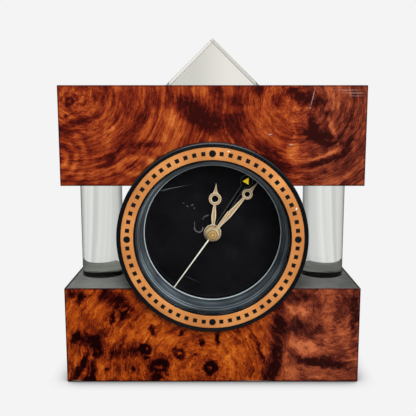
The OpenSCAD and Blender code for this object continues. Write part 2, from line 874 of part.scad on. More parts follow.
base_core();
front_veneer(base_bottom, base_h);  // base_front_veneer
end_veneer(-1, base_bottom, base_h);  // base_end_veneer_left
end_veneer(1, base_bottom, base_h);  // base_end_veneer_right
side_laminate(-1, base_top - laminate_t);  // base_top_laminate_left
side_laminate(1, base_top - laminate_t);  // base_top_laminate_right
base_felt();
top_core();
front_veneer(upper_bottom, block_h);  // top_front_veneer
end_veneer(-1, upper_bottom, block_h);  // top_end_veneer_left
end_veneer(1, upper_bottom, block_h);  // top_end_veneer_right
top_cap_laminate();
for (side = [-1, 1]) side_laminate(side, upper_bottom);  // top_under_laminate
column(-1);  // column_left
column(1);  // column_right
roof_prism();
drum_case();
bezel();
chapter_ring();
minute_markers();
quarter_markers();
lens();
dial();
hour_hand();
minute_hand();
second_hand();
second_hand_cap();
alarm_hand();
alarm_arrow();
movement_front_plate();
movement_rear_shell();
movement_screws();
alarm_wheel();
hour_wheel();
cannon_pinion();
minute_wheel();
centre_wheel();
third_wheel();
second_wheel();
intermediate_wheel();
rotor();
rotor_magnet();
stator();
coil();
circuit_board();
quartz_crystal();
driver_chip();
buzzer();
battery();
battery_contact(1);  // battery_contact_positive
battery_contact(-1);  // battery_contact_negative
time_set_gear();
setting_knob(time_at);  // time_knob
alarm_set_gear();
setting_knob(alarm_at);  // alarm_knob
alarm_switch();
rear_cover();
rear_cover_screws();
battery_door();
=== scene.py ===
"""Mantel alarm clock: burl-faced blocks, clear columns, a roof prism and a round quartz dial.

Lengths are written in millimetres and turned into metres by MM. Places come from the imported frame.
Clock profiles use (radius, depth), where depth is measured towards the viewer, along -Y.
"""
import json
import math

import bmesh
import bpy
from mathutils import Matrix, Vector


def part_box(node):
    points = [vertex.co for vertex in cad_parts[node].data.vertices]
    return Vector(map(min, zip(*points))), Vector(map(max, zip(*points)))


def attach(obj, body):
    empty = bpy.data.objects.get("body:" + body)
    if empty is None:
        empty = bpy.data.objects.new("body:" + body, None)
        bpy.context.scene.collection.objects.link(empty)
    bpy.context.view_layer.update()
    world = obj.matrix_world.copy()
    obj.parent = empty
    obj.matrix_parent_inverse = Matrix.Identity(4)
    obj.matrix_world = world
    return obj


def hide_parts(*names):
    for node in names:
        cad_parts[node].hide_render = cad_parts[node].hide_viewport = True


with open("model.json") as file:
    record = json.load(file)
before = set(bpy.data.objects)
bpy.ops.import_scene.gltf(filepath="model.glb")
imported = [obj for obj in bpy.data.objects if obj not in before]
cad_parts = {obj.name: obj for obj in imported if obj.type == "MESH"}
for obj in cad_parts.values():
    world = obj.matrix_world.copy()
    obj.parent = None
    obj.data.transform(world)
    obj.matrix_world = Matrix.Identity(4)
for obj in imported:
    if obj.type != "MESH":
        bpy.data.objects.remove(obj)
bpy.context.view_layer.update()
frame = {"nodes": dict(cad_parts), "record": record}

MM = 0.001
# Colour of the pale surroundings and the floor.
PAPER = "f4f4f4"
NODES = frame["nodes"]


# ----------------------------------------------------------------------------
# Places, read from the frame
# ----------------------------------------------------------------------------

def middle(name):
    """Centre of a node's box."""
    low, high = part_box(name)
    return (Vector(low) + Vector(high)) / 2


def near_face(name):
    """Depth of a node's face nearest the viewer, in millimetres."""
    return -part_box(name)[0][1] / MM


def far_face(name):
    """Depth of a node's face farthest from the viewer, in millimetres."""
    return -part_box(name)[1][1] / MM


def half_width(name):
    """Half of a node's width, which is its radius where it is round, in millimetres."""
    low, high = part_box(name)
    return (high[0] - low[0]) / 2 / MM


AXIS = middle("chapter_ring")
CLOCK_X, CLOCK_Z = AXIS.x, AXIS.z
BASE_LOW, BASE_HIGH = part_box("base_front_veneer")
TOP_LOW, TOP_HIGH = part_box("top_front_veneer")


def reach(node, pick):
    """Distance of a node's nearest (min) or farthest (max) corner from the clock's axis, in millimetres."""
    return pick(math.hypot(v.co.x - CLOCK_X, v.co.z - CLOCK_Z) for v in NODES[node].data.vertices) / MM


# ----------------------------------------------------------------------------
# Node tools
# ----------------------------------------------------------------------------

def linear(code):
    """sRGB hex to linear RGBA."""
    channels = [int(code[i:i + 2], 16) / 255 for i in (0, 2, 4)]
    return [c / 12.92 if c <= 0.04045 else ((c + 0.055) / 1.055) ** 2.4 for c in channels] + [1.0]


def add(tree, kind, inputs=None, stops=(), **settings):
    """Adds a node. Inputs are values, or sockets to link from; settings are the node's properties.

    A colour ramp's stops are (position, hex or grey).
    """
    made = tree.nodes.new(kind)
    for name, value in settings.items():
        setattr(made, name, value)
    for key, value in (inputs or {}).items():
        if isinstance(value, bpy.types.NodeSocket):
            tree.links.new(value, made.inputs[key])
        else:
            made.inputs[key].default_value = value
    if stops:
        points = made.color_ramp.elements
        while len(points) < len(stops):
            points.new(0.5)
        for point, (where, colour) in zip(points, stops):
            point.position = where
            point.color = linear(colour) if isinstance(colour, str) else (colour, colour, colour, 1)
    return made


def new_material(name):
    """Empty material and its node tree."""
    made = bpy.data.materials.new(name)
    made.use_nodes = True
    made.node_tree.nodes.clear()
    return made, made.node_tree


def surfaced(made, inputs, relief, depth_mm, strength=1.0):
    """Ends a material with one surface of these inputs, over a relief depth_mm deep."""
    tree = made.node_tree
    raised = add(tree, "ShaderNodeBump", {"Height": relief, "Distance": depth_mm * MM, "Strength": strength})
    shader = add(tree, "ShaderNodeBsdfPrincipled", {**inputs, "Normal": raised.outputs["Normal"]})
    add(tree, "ShaderNodeOutputMaterial", {"Surface": shader.outputs[0]})
    return made


def millimetres(tree):
    """Place on the object in millimetres."""
    place = add(tree, "ShaderNodeTexCoord").outputs["Object"]
    return add(tree, "ShaderNodeVectorMath", {0: place, 1: (1 / MM,) * 3}, operation="MULTIPLY").outputs[0]


# ----------------------------------------------------------------------------
# Burl veneer
# ----------------------------------------------------------------------------

# A stroke or an eye goes this many millimetres through the wood, so that the ends show it too.
ANY_DEPTH = 1000
# The distance from its centre at which a round grain is stretched as stated, in millimetres.
TRUE_REACH = 26
# Fibres and pores are drawn coarser than the real ones, which are about 0.1 mm wide, so that they show.
FIBRE_MM, PORE_MM = 0.62, 0.55


def figure_patch(tree, coords, tone, patch):
    """Adds one soft stroke of figure to the tone: (x, z, half length, half width, turn, depth)."""
    x, z, length, width, turn, depth = patch
    local = add(tree, "ShaderNodeMapping",
                {"Vector": coords, "Location": (x, 0, z), "Rotation": (0, -math.radians(turn), 0),
                 "Scale": (length, ANY_DEPTH, width)}, vector_type="TEXTURE").outputs[0]
    away = add(tree, "ShaderNodeVectorMath", {0: local}, operation="LENGTH").outputs["Value"]
    mask = add(tree, "ShaderNodeMapRange",
               {"Value": away, "From Min": 0.25, "From Max": 1.25, "To Min": depth, "To Max": 0.0},
               interpolation_type="SMOOTHSTEP").outputs[0]
    return add(tree, "ShaderNodeMath", {0: tone, 1: mask}, operation="ADD").outputs[0]


def figure_eye(tree, coords, tone, eye):
    """Adds one burl eye from (x, z, half width, half height, rings, depth).

    With rings it is a dark ring round a paler heart, with growth lines outside. Without, it is a dark pip.
    """
    x, z, across, up, rings, depth = eye
    local = add(tree, "ShaderNodeMapping",
                {"Vector": coords, "Location": (x, 0, z), "Scale": (across, ANY_DEPTH, up)},
                vector_type="TEXTURE").outputs[0]
    away = add(tree, "ShaderNodeVectorMath", {0: local}, operation="LENGTH").outputs["Value"]
    bark, edge = away, 0.6
    if rings:
        bark = add(tree, "ShaderNodeMath", {0: away, 1: 0.75}, operation="SUBTRACT").outputs[0]
        bark = add(tree, "ShaderNodeMath", {0: bark}, operation="ABSOLUTE").outputs[0]
        edge = 0.25
    pip = add(tree, "ShaderNodeMapRange",
              {"Value": bark, "From Min": edge - 0.2, "From Max": edge + 0.45,
               "To Min": depth, "To Max": 0.0}, interpolation_type="SMOOTHSTEP").outputs[0]
    tone = add(tree, "ShaderNodeMath", {0: tone, 1: pip}, operation="ADD").outputs[0]
    if not rings:
        return tone
    wave = add(tree, "ShaderNodeMath", {0: away, 1: 4.6}, operation="MULTIPLY").outputs[0]
    wave = add(tree, "ShaderNodeMath", {0: wave}, operation="SINE").outputs[0]
    fade = add(tree, "ShaderNodeMapRange",
               {"Value": away, "From Min": 1.0, "From Max": rings, "To Min": -0.2, "To Max": 0.0}).outputs[0]
    return add(tree, "ShaderNodeMath", {0: wave, 1: fade, 2: tone}, operation="MULTIPLY_ADD").outputs[0]


def round_grain(tree, coords, centre, size_mm, stretch):
    """Fibre that runs in circles round a centre: noise size_mm wide, drawn out along the circles.

    The stretch is true at TRUE_REACH from the centre.
    """
    local = add(tree, "ShaderNodeVectorMath", {0: coords, 1: (centre[0], 0, centre[1])},
                operation="SUBTRACT").outputs[0]
    local = add(tree, "ShaderNodeVectorMath", {0: local, 1: (1, 0, 1)}, operation="MULTIPLY").outputs[0]
    away = add(tree, "ShaderNodeVectorMath", {0: local}, operation="LENGTH").outputs["Value"]
    sides = add(tree, "ShaderNodeSeparateXYZ", {0: local}).outputs
    below = add(tree, "ShaderNodeMath", {0: sides["Z"], 1: -1.0}, operation="MULTIPLY").outputs[0]
    angle = add(tree, "ShaderNodeMath", {0: sides["X"], 1: below}, operation="ARCTAN2").outputs[0]
    along = add(tree, "ShaderNodeMath", {0: angle, 1: TRUE_REACH / stretch}, operation="MULTIPLY").outputs[0]
    spun = add(tree, "ShaderNodeCombineXYZ", {"X": away, "Y": along, "Z": centre[0]}).outputs[0]
    return add(tree, "ShaderNodeTexNoise",
               {"Vector": spun, "Scale": 1 / size_mm, "Detail": 3.0, "Roughness": 0.6}).outputs["Fac"]


def swayed(tree, tone, noise, swing):
    """Moves the tone up and down with a noise, by about plus or minus swing."""
    sway = add(tree, "ShaderNodeMapRange",
               {"Value": noise, "From Min": 0.3, "From Max": 0.7, "To Min": -swing, "To Max": swing},
               clamp=False).outputs[0]
    return add(tree, "ShaderNodeMath", {0: tone, 1: sway}, operation="ADD").outputs[0]


def wandering(tree, coords, size_mm, swing_mm, detail):
    """Coordinates pushed about by noise."""
    push = add(tree, "ShaderNodeTexNoise",
               {"Vector": coords, "Scale": 1 / size_mm, "Detail": detail, "Roughness": 0.6}).outputs["Color"]
    push = add(tree, "ShaderNodeVectorMath", {0: push, 1: (0.5, 0.5, 0.5)}, operation="SUBTRACT").outputs[0]
    return add(tree, "ShaderNodeVectorMath", {0: push, 1: (swing_mm * 2,) * 3, 2: coords},
               operation="MULTIPLY_ADD").outputs[0]


def burl_veneer(name, low, high, figure, colours):
    """Lacquered burl veneer: swirling figure under a deep gloss, which the eye reads as polished wood.

    low and high bound the block's front. The figure's places count from its centre line and bottom.
    """
    made, tree = new_material(name)
    width, height = (high[0] - low[0]) / MM, (high[2] - low[2]) / MM
    foot = ((low[0] + high[0]) / 2 / MM, 0, low[2] / MM)
    place = add(tree, "ShaderNodeVectorMath", {0: millimetres(tree), 1: foot},
                operation="SUBTRACT").outputs[0]
    seed = figure["seed"]
    shifted = add(tree, "ShaderNodeVectorMath", {0: place, 1: (seed,) * 3}, operation="ADD").outputs[0]
    stirred = wandering(tree, shifted, 3.4, figure["swing"], 4.0)
    bent = add(tree, "ShaderNodeVectorMath", {0: stirred, 1: (-seed,) * 3}, operation="ADD").outputs[0]
    flowing = wandering(tree, bent, 15, 7.5, 2.0)

    # The placed strokes and eyes, broken up so that no edge stays smooth.
    strokes = 0.0
    for patch in figure["strokes"]:
        strokes = figure_patch(tree, bent, strokes, patch)
    ragged = add(tree, "ShaderNodeTexNoise",
                 {"Vector": bent, "Scale": 1 / 2.2, "Detail": 3.0, "Roughness": 0.65}).outputs["Fac"]
    ragged = add(tree, "ShaderNodeMapRange",
                 {"Value": ragged, "From Min": 0.32, "From Max": 0.68, "To Min": 0.5, "To Max": 1.5},
                 clamp=False).outputs[0]
    tone = add(tree, "ShaderNodeMath", {0: strokes, 1: ragged, 2: 0.5}, operation="MULTIPLY_ADD").outputs[0]
    for eye in figure["eyes"]:
        tone = figure_eye(tree, bent, tone, eye)

    # Broad clouds and mottle.
    clouds = add(tree, "ShaderNodeTexNoise", {"Vector": flowing, "Scale": 1 / 16, "Detail": 3.0})
    tone = swayed(tree, tone, clouds.outputs["Fac"], figure["cloud"])
    mottle = add(tree, "ShaderNodeTexNoise",
                 {"Vector": flowing, "Scale": 1 / 5.5, "Detail": 3.0, "Roughness": 0.6})
    tone = swayed(tree, tone, mottle.outputs["Fac"], figure["mottle"])

    # Bands and fibres run round a few centres. The first centre holds everywhere but in the others' regions.
    bands = fibres = None
    for x, z, region_x, region_z, region in figure["grains"]:
        band = round_grain(tree, bent, (x, z), figure["band_mm"], 12)
        fibre = round_grain(tree, bent, (x, z), FIBRE_MM, 7)
        if bands is None:
            bands, fibres = band, fibre
            continue
        away = add(tree, "ShaderNodeVectorMath", {0: flowing, 1: (region_x, 0, region_z)},
                   operation="DISTANCE").outputs["Value"]
        here = add(tree, "ShaderNodeMapRange",
                   {"Value": away, "From Min": region - 5, "From Max": region + 5,
                    "To Min": 1.0, "To Max": 0.0}, interpolation_type="SMOOTHSTEP").outputs[0]
        bands = add(tree, "ShaderNodeMix", {0: here, 2: bands, 3: band}).outputs[0]
        fibres = add(tree, "ShaderNodeMix", {0: here, 2: fibres, 3: fibre}).outputs[0]
    tone = swayed(tree, tone, bands, figure["bands"])
    tone = swayed(tree, tone, fibres, figure["fibres"])
    pores = add(tree, "ShaderNodeTexNoise",
                {"Vector": place, "Scale": 1 / PORE_MM, "Detail": 2.0, "Roughness": 0.7})
    tone = swayed(tree, tone, pores.outputs["Fac"], 0.07)

    # The edges are sanded thin and take more stain.
    sides = add(tree, "ShaderNodeSeparateXYZ", {0: place}).outputs
    for axis, centre, half in (("X", 0.0, width / 2), ("Z", height / 2, height / 2)):
        off = add(tree, "ShaderNodeMath", {0: sides[axis], 1: centre}, operation="SUBTRACT").outputs[0]
        off = add(tree, "ShaderNodeMath", {0: off}, operation="ABSOLUTE").outputs[0]
        stain = add(tree, "ShaderNodeMapRange",
                    {"Value": off, "From Min": half - 0.9, "From Max": half - 0.1,
                     "To Min": 0.0, "To Max": -0.45}).outputs[0]
        tone = add(tree, "ShaderNodeMath", {0: tone, 1: stain}, operation="ADD").outputs[0]

    # The right side is rosier, the lacquer is rubbed grey in a few places, and a few pale streaks are painted
    # reflections of light on the lacquer.
    colour = add(tree, "ShaderNodeValToRGB", {"Fac": tone}, stops=colours).outputs["Color"]
    blush = add(tree, "ShaderNodeValToRGB", {"Fac": tone}, stops=ROSY_COLOURS).outputs["Color"]
    rosy_from = figure["rosy_from"]
    rosy = add(tree, "ShaderNodeMapRange",
               {"Value": sides["X"], "From Min": rosy_from, "From Max": rosy_from + 24,
                "To Min": 0.0, "To Max": figure["rosy"]}, interpolation_type="SMOOTHSTEP").outputs[0]
    colour = add(tree, "ShaderNodeMix", {0: rosy, 6: colour, 7: blush}, data_type="RGBA").outputs[2]
    wear_and_glint_mask = 0.0
    for mark in figure["wear_and_painted_glints"]:
        wear_and_glint_mask = figure_patch(tree, place, wear_and_glint_mask, mark)
    colour = add(tree, "ShaderNodeMix", {0: wear_and_glint_mask, 6: colour, 7: linear("a99b93")},
                 data_type="RGBA").outputs[2]
    peel = add(tree, "ShaderNodeTexNoise", {"Vector": place, "Scale": 1 / 2.2, "Detail": 2.0}).outputs["Fac"]
    return surfaced(made, {"Base Color": colour, "Roughness": 0.45, "IOR": 1.5, "Specular IOR Level": 0.1,
                           "Coat Weight": 0.7, "Coat Roughness": 0.06, "Coat IOR": 1.45}, peel, 0.01, 0.6)


UPPER_COLOURS = [(0.0, "2a0603"), (0.18, "460c05"), (0.36, "611a08"), (0.5, "78290e"), (0.66, "8e3b14"),
                 (0.82, "a04c1c"), (1.0, "b4662e")]
LOWER_COLOURS = [(0.0, "100000"), (0.18, "300401"), (0.36, "5a1802"), (0.5, "7d2c04"), (0.66, "984108"),
                 (0.82, "ac5412"), (1.0, "c47026")]
ROSY_COLOURS = [(0.0, "220705"), (0.18, "36110c"), (0.36, "4c1c12"), (0.5, "662b1b"), (0.66, "7e3a22"),
                (0.82, "92482a"), (1.0, "a85a38")]

# Grains: the centre that the fibre runs round, then the middle and radius of its region.
# Strokes: x and z from the centre line and bottom, half length, half width, turn, depth.
# Eyes: x, z, half width, half height, reach of the rings, depth.
UPPER_FIGURE = {
    "seed": 3.0, "swing": 1.5, "band_mm": 2.6, "cloud": 0.1, "mottle": 0.12, "bands": 0.27, "fibres": 0.22,
    "rosy": 0.8, "rosy_from": 34,
    "grains": [(-66, 45, 0, 0, 0), (42, 42, 56, 22, 60), (-80, 14, -76, 10, 22), (-37, -6, -34, 8, 15)],
    "strokes": [
        (-67, 32, 11, 2.4, 22, -0.42), (-71, 35, 5, 1.0, 24, -0.4), (-74, 27, 7, 3.0, 0, -0.25),
        (-58, 10, 4, 10, 20, -0.12), (-48, 17, 12, 2.6, 52, -0.36), (-37, 30, 10, 2.2, 62, -0.3),
        (-34, 20.5, 12, 2.2, 3, -0.36), (-28, 43, 8, 2.2, 92, -0.36), (-52, 25, 9, 5, 50, 0.1),
        (-19, 31, 14, 4.5, -42, 0.24), (-46, 33, 5, 12, 60, 0.08), (-38, 10, 12, 4, 4, 0.1),
        (-10, 37, 18, 6.0, -40, -0.42), (4, 32, 15, 8, -8, -0.28), (2, 47, 5, 3, 0, -0.3),
        (12, 42, 12, 2.5, -8, -0.22), (22, 47, 4, 2.6, 0, -0.35), (-6, 47, 5, 3, 0, 0.26),
        (12, 37.5, 12, 2.0, 8, 0.12), (28, 28, 14, 7, -24, 0.14), (42, 36, 7, 6, 0, 0.08),
        (30, 37, 13, 2, 8, 0.08), (45, 44, 12, 4.2, -18, -0.6), (55, 36, 3, 2.6, 0, -0.4),
        (49.5, 30, 7, 2.6, 100, -0.42), (55, 24, 12, 4.0, -14, -0.55), (59.5, 28, 7, 1.6, -70, 0.4),
        (54, 22.9, 8, 0.9, 3, 0.3), (40, 17, 4, 7, 0, 0.26), (54, 12, 16, 2.2, 20, -0.42),
        (50, 5, 13, 1.8, 16, -0.4), (57, 16, 12, 1.0, 20, 0.2), (67, 20, 8, 2.2, 60, -0.4),
        (31, 13, 13, 5, -38, -0.45), (70, 36, 5, 15, 0, -0.08), (60, 2, 14, 2, 12, 0.06),
        (-2, 34, 26, 14, 0, -0.13), (31, 27, 22, 12, 0, -0.14), (61, 20, 17, 24, 0, -0.12),
    ],
    "eyes": [
        (-70.3, 41.6, 2.4, 2.4, 3.6, -0.6), (-76, 14, 3.4, 3.8, 6.0, 0.0),
        (-37, 10, 8.5, 4.2, 2.2, 0.05),
    ],
    # Rubs and scratches in the lacquer; the three marks near x 66 to 71 at the top are painted reflections,
    # pale streaks in place of glints.
    "wear_and_painted_glints": [
        (49.3, 44, 5.6, 0.16, 77, 0.75), (47.9, 38.6, 0.6, 0.3, -20, 0.7),
        (28.6, 25.7, 1.1, 0.4, 5, 0.6), (39, 20.6, 1.1, 0.45, 5, 0.6), (69.5, 45.8, 6, 0.35, 0, 0.3),
        (70.5, 44.4, 4.5, 0.25, 0, 0.25), (66, 47.2, 7, 0.3, 0, 0.3),
    ],
}
LOWER_FIGURE = {
    "seed": 41.0, "swing": 2.4, "band_mm": 2.3, "cloud": 0.08, "mottle": 0.16, "bands": 0.16, "fibres": 0.22,
    "rosy": 0.9, "rosy_from": 20,
    "grains": [
        (-5, 6, 0, 0, 0), (64, 42, 74, 22, 48), (-84, -10, -76, 10, 18), (-17, 15, -17, 15, 6),
        (-1, 8, -1, 9, 7),
    ],
    "strokes": [
        (-70, 47, 8, 3.0, -8, -0.45), (-68, 42, 3, 5, 0, -0.25), (-49, 43, 14, 5, -35, -0.34),
        (-52, 34, 5, 1.6, 88, -0.55), (-46, 36, 4, 2.6, 0, -0.45), (-61, 40, 5, 10, 0, 0.08),
        (-46, 17, 12, 5, 0, -0.3), (-60, 25, 13, 3, 20, -0.22), (-69, 8, 14, 2.2, 62, -0.5),
        (-64, 3, 9, 3.4, 76, -0.55), (-71, 24, 4, 2.4, 60, -0.45), (-35, 34, 11, 6, 0, 0.12),
        (-24, 22, 15, 5, -20, 0.14), (-14, 8, 12, 5, 0, 0.14), (-45, 27, 9, 3, -10, 0.1),
        (3, 25, 6, 1.8, 84, -0.42), (8, 16, 8, 14, 0, 0.14), (17, 20, 4, 16, -8, 0.08),
        (20, 28, 11, 1.3, -64, -0.28), (26, 14, 10, 1.3, -70, -0.28), (34, 24, 24, 4.6, 88, -0.46),
        (31, 6, 12, 4.6, 74, -0.45), (44, 46, 12, 3.4, 0, -0.42), (44, 38.5, 8, 2.8, -14, 0.42),
        (42, 30, 10, 5, 0, -0.42), (49, 18.5, 9, 5.0, -20, 0.5), (60, 34, 3.5, 16, 0, 0.22),
        (68, 24, 6, 7, 0, 0.2), (73, 34, 2.4, 16, 0, -0.34), (57, 10.5, 18, 3.4, -8, -0.62),
        (40, 4.5, 7, 4.5, 0, 0.3), (60, 2.5, 13, 2.5, 0, 0.14), (67, 42, 10, 8, 0, -0.16),
        (54, 28, 5, 3, 30, -0.3), (37, 13, 4, 4, 0, 0.25), (-64, 23, 9, 5, -10, -0.4),
    ],
    "eyes": [
        (-31, 28, 2.6, 4.0, 0, -0.55), (-35, 18, 3.4, 3.0, 1.8, -0.6), (-34.5, 13, 2.4, 1.6, 0, -0.45),
        (-17.5, 15.4, 3.2, 3.9, 2.0, -0.5), (-5.5, 21, 1.9, 2.8, 0, -0.42),
        (-16.4, 26, 1.9, 2.6, 0, -0.42), (-28, 8.5, 5.2, 4.0, 1.8, -0.6), (-29, 2.4, 5.0, 2.0, 0, -0.5),
        (-1, 7.6, 3.6, 4.0, 2.2, -0.7), (2.5, 23, 2.0, 3.4, 0, -0.4), (-60, 17, 3.0, 4.4, 1.8, -0.5),
        (-41, 7, 1.3, 2.6, 0, -0.4), (-55, 6.4, 1.6, 2.0, 0, -0.36), (-24, 4, 1.3, 1.5, 0, -0.3),
        (-9, 15, 1.3, 1.3, 0, -0.25),
    ],
    "wear_and_painted_glints": [(-71, 0.6, 3, 0.3, 0, 0.3), (22, 0.5, 9, 0.25, 0, 0.25)],
}


# Scratches on the lens, from the clock's axis, in the same form as the strokes.
LENS_SCRATCHES = [
    (-19.9, 25.7, 8.6, 0.11, 11, 0.13), (-23.5, 24.6, 3.0, 0.16, 9, 0.06),
    (-8.9, 7.4, 1.9, 0.13, 96, 0.13), (-3.2, 11.7, 1.7, 0.25, 24, 0.12),
    (-4.6, 10.4, 0.8, 0.2, 60, 0.08), (-10.2, 17.2, 0.8, 0.4, 20, 0.08),
    (-12.6, 16.6, 0.6, 0.4, -30, 0.08), (-9.0, 15.6, 0.5, 0.35, 40, 0.07),
    (-14.5, 18.2, 0.4, 0.3, 0, 0.06), (-11, -20.5, 5.0, 0.12, -24, 0.05),
    (-1.2, 20.8, 0.35, 0.3, 0, 0.1),
]
HOOK_CENTRE, HOOK_RADIUS = (-6.9, 0, 5.6), 2.15

# Chips in the chapter ring's foil, in the same form.
RING_CHIPS = [(41.7, 15.6, 0.7, 0.45, 70, 0.95), (7.9, 43.9, 0.6, 0.35, 0, 0.95)]

# Where the bezel's dish ends at the lip and at its rim, and where the colours of the hub end.
DISH_RADIUS, RIM_RADIUS, HUB_RADIUS = 39.0, 36.1, 5.0


# ----------------------------------------------------------------------------
# Other materials
# ----------------------------------------------------------------------------

def painted_light_through_acrylic(tree, colour, gain):
    """Painted light and shade: scales a colour only where it is seen through the clear pieces, in place of
    the light they gather onto what they touch.
    """
    through = add(tree, "ShaderNodeLightPath").outputs["Is Transmission Ray"]
    scale = add(tree, "ShaderNodeMapRange", {"Value": through, "To Min": 1.0, "To Max": gain}).outputs[0]
    return add(tree, "ShaderNodeVectorMath", {0: colour, "Scale": scale}, operation="SCALE").outputs[0]


def lacquered_fibreboard():
    """Fibreboard sprayed satin black, which gives a soft sheen over a faint orange-peel.

    Seen through the rods it is painted darker, a painted shade at the rods' seats.
    """
    made, tree = new_material("lacquered_fibreboard")
    place = millimetres(tree)
    peel = add(tree, "ShaderNodeTexNoise", {"Vector": place, "Scale": 1 / 1.4, "Detail": 2.0}).outputs["Fac"]
    cloud = add(tree, "ShaderNodeTexNoise", {"Vector": place, "Scale": 1 / 22, "Detail": 3.0}).outputs["Fac"]
    colour = add(tree, "ShaderNodeValToRGB", {"Fac": cloud}, stops=[(0.3, "151517"), (0.7, "1e1e20")])
    # Painted shade: darker where seen through the rods.
    colour = painted_light_through_acrylic(tree, colour.outputs["Color"], 0.15)
    return surfaced(made, {"Base Color": colour, "Roughness": 0.38, "IOR": 1.5}, peel, 0.02, 0.5)


def charcoal_laminate():
    """Charcoal laminate with a fine straight brushing, which gives it a soft grey satin.

    The brushing is drawn coarser than the real 0.1 mm lines, so that it shows. It is painted lighter at its
    left end and darker towards its right, a painted light and shade.
    Seen through the clear rods it is painted paler, a painted light for the light they gather onto it.
    """
    made, tree = new_material("charcoal_laminate")
    place = millimetres(tree)
    brushed = add(tree, "ShaderNodeVectorMath", {0: place, 1: (0.06, 1.0, 1.0)},
                  operation="MULTIPLY").outputs[0]
    streaks = add(tree, "ShaderNodeTexNoise",
                  {"Vector": brushed, "Scale": 1 / 0.8, "Detail": 4.0, "Roughness": 0.7}).outputs["Fac"]
    cloud = add(tree, "ShaderNodeTexNoise",
                {"Vector": place, "Scale": 1 / 9, "Detail": 4.0, "Roughness": 0.65}).outputs["Fac"]
    along = add(tree, "ShaderNodeSeparateXYZ", {0: place}).outputs["X"]
    # Painted light and shade: lighter at the left end, darker towards the right.
    dust_and_painted_shade = add(tree, "ShaderNodeMapRange",
               {"Value": along, "From Min": -70.0, "From Max": 70.0,
                "To Min": 0.1, "To Max": -0.3}).outputs[0]
    tone = swayed(tree, 0.5, streaks, 0.34)
    tone = swayed(tree, tone, cloud, 0.2)
    tone = add(tree, "ShaderNodeMath", {0: tone, 1: dust_and_painted_shade}, operation="ADD").outputs[0]
    colour = add(tree, "ShaderNodeValToRGB", {"Fac": tone},
                 stops=[(0.0, "333532"), (0.5, "5a5c57"), (0.9, "777973")]).outputs["Color"]
    # Painted light: paler where seen through the rods.
    colour = painted_light_through_acrylic(tree, colour, 2.1)
    rough = add(tree, "ShaderNodeMapRange", {"Value": streaks, "To Min": 0.35, "To Max": 0.55}).outputs[0]
    return surfaced(made, {"Base Color": colour, "Roughness": rough, "IOR": 1.5}, streaks, 0.01, 0.5)


def wool_felt():
    """Pressed wool felt: matt, with fibres that catch a little light at the edge.

    The fibres are drawn coarser than the real 0.02 mm ones, so that they show.
    """
    made, tree = new_material("wool_felt")
    place = millimetres(tree)
    fibres = add(tree, "ShaderNodeTexNoise",
                 {"Vector": place, "Scale": 1 / 0.5, "Detail": 5.0, "Roughness": 0.7}).outputs["Fac"]
    colour = add(tree, "ShaderNodeValToRGB", {"Fac": fibres}, stops=[(0.3, "101010"), (0.75, "2c2c2b")])
    return surfaced(made, {"Base Color": colour.outputs["Color"], "Roughness": 0.95, "Sheen Weight": 0.4,
                           "Sheen Roughness": 0.5}, fibres, 0.15, 0.8)


def cast_acrylic(name, tint):
    """Polished cast acrylic: clear, with bright bent edges and a faint haze of handling in the surface."""
    made, tree = new_material(name)
    haze = add(tree, "ShaderNodeTexNoise", {"Vector": millimetres(tree), "Scale": 1 / 6, "Detail": 3.0})
    rough = add(tree, "ShaderNodeMapRange",
                {"Value": haze.outputs["Fac"], "From Min": 0.4, "From Max": 0.75,
                 "To Min": 0.0, "To Max": 0.035}).outputs[0]
    shader = add(tree, "ShaderNodeBsdfPrincipled",
                 {"Base Color": linear(tint), "Roughness": rough, "IOR": 1.49, "Transmission Weight": 1.0})
    add(tree, "ShaderNodeOutputMaterial", {"Surface": shader.outputs[0]})
    return made


def from_clock_axis(tree):
    """Place in millimetres from the clock's axis, in the plane of the dial."""
    place = add(tree, "ShaderNodeVectorMath", {0: millimetres(tree), 1: (CLOCK_X / MM, 0, CLOCK_Z / MM)},
                operation="SUBTRACT").outputs[0]
    return add(tree, "ShaderNodeVectorMath", {0: place, 1: (1, 0, 1)}, operation="MULTIPLY").outputs[0]


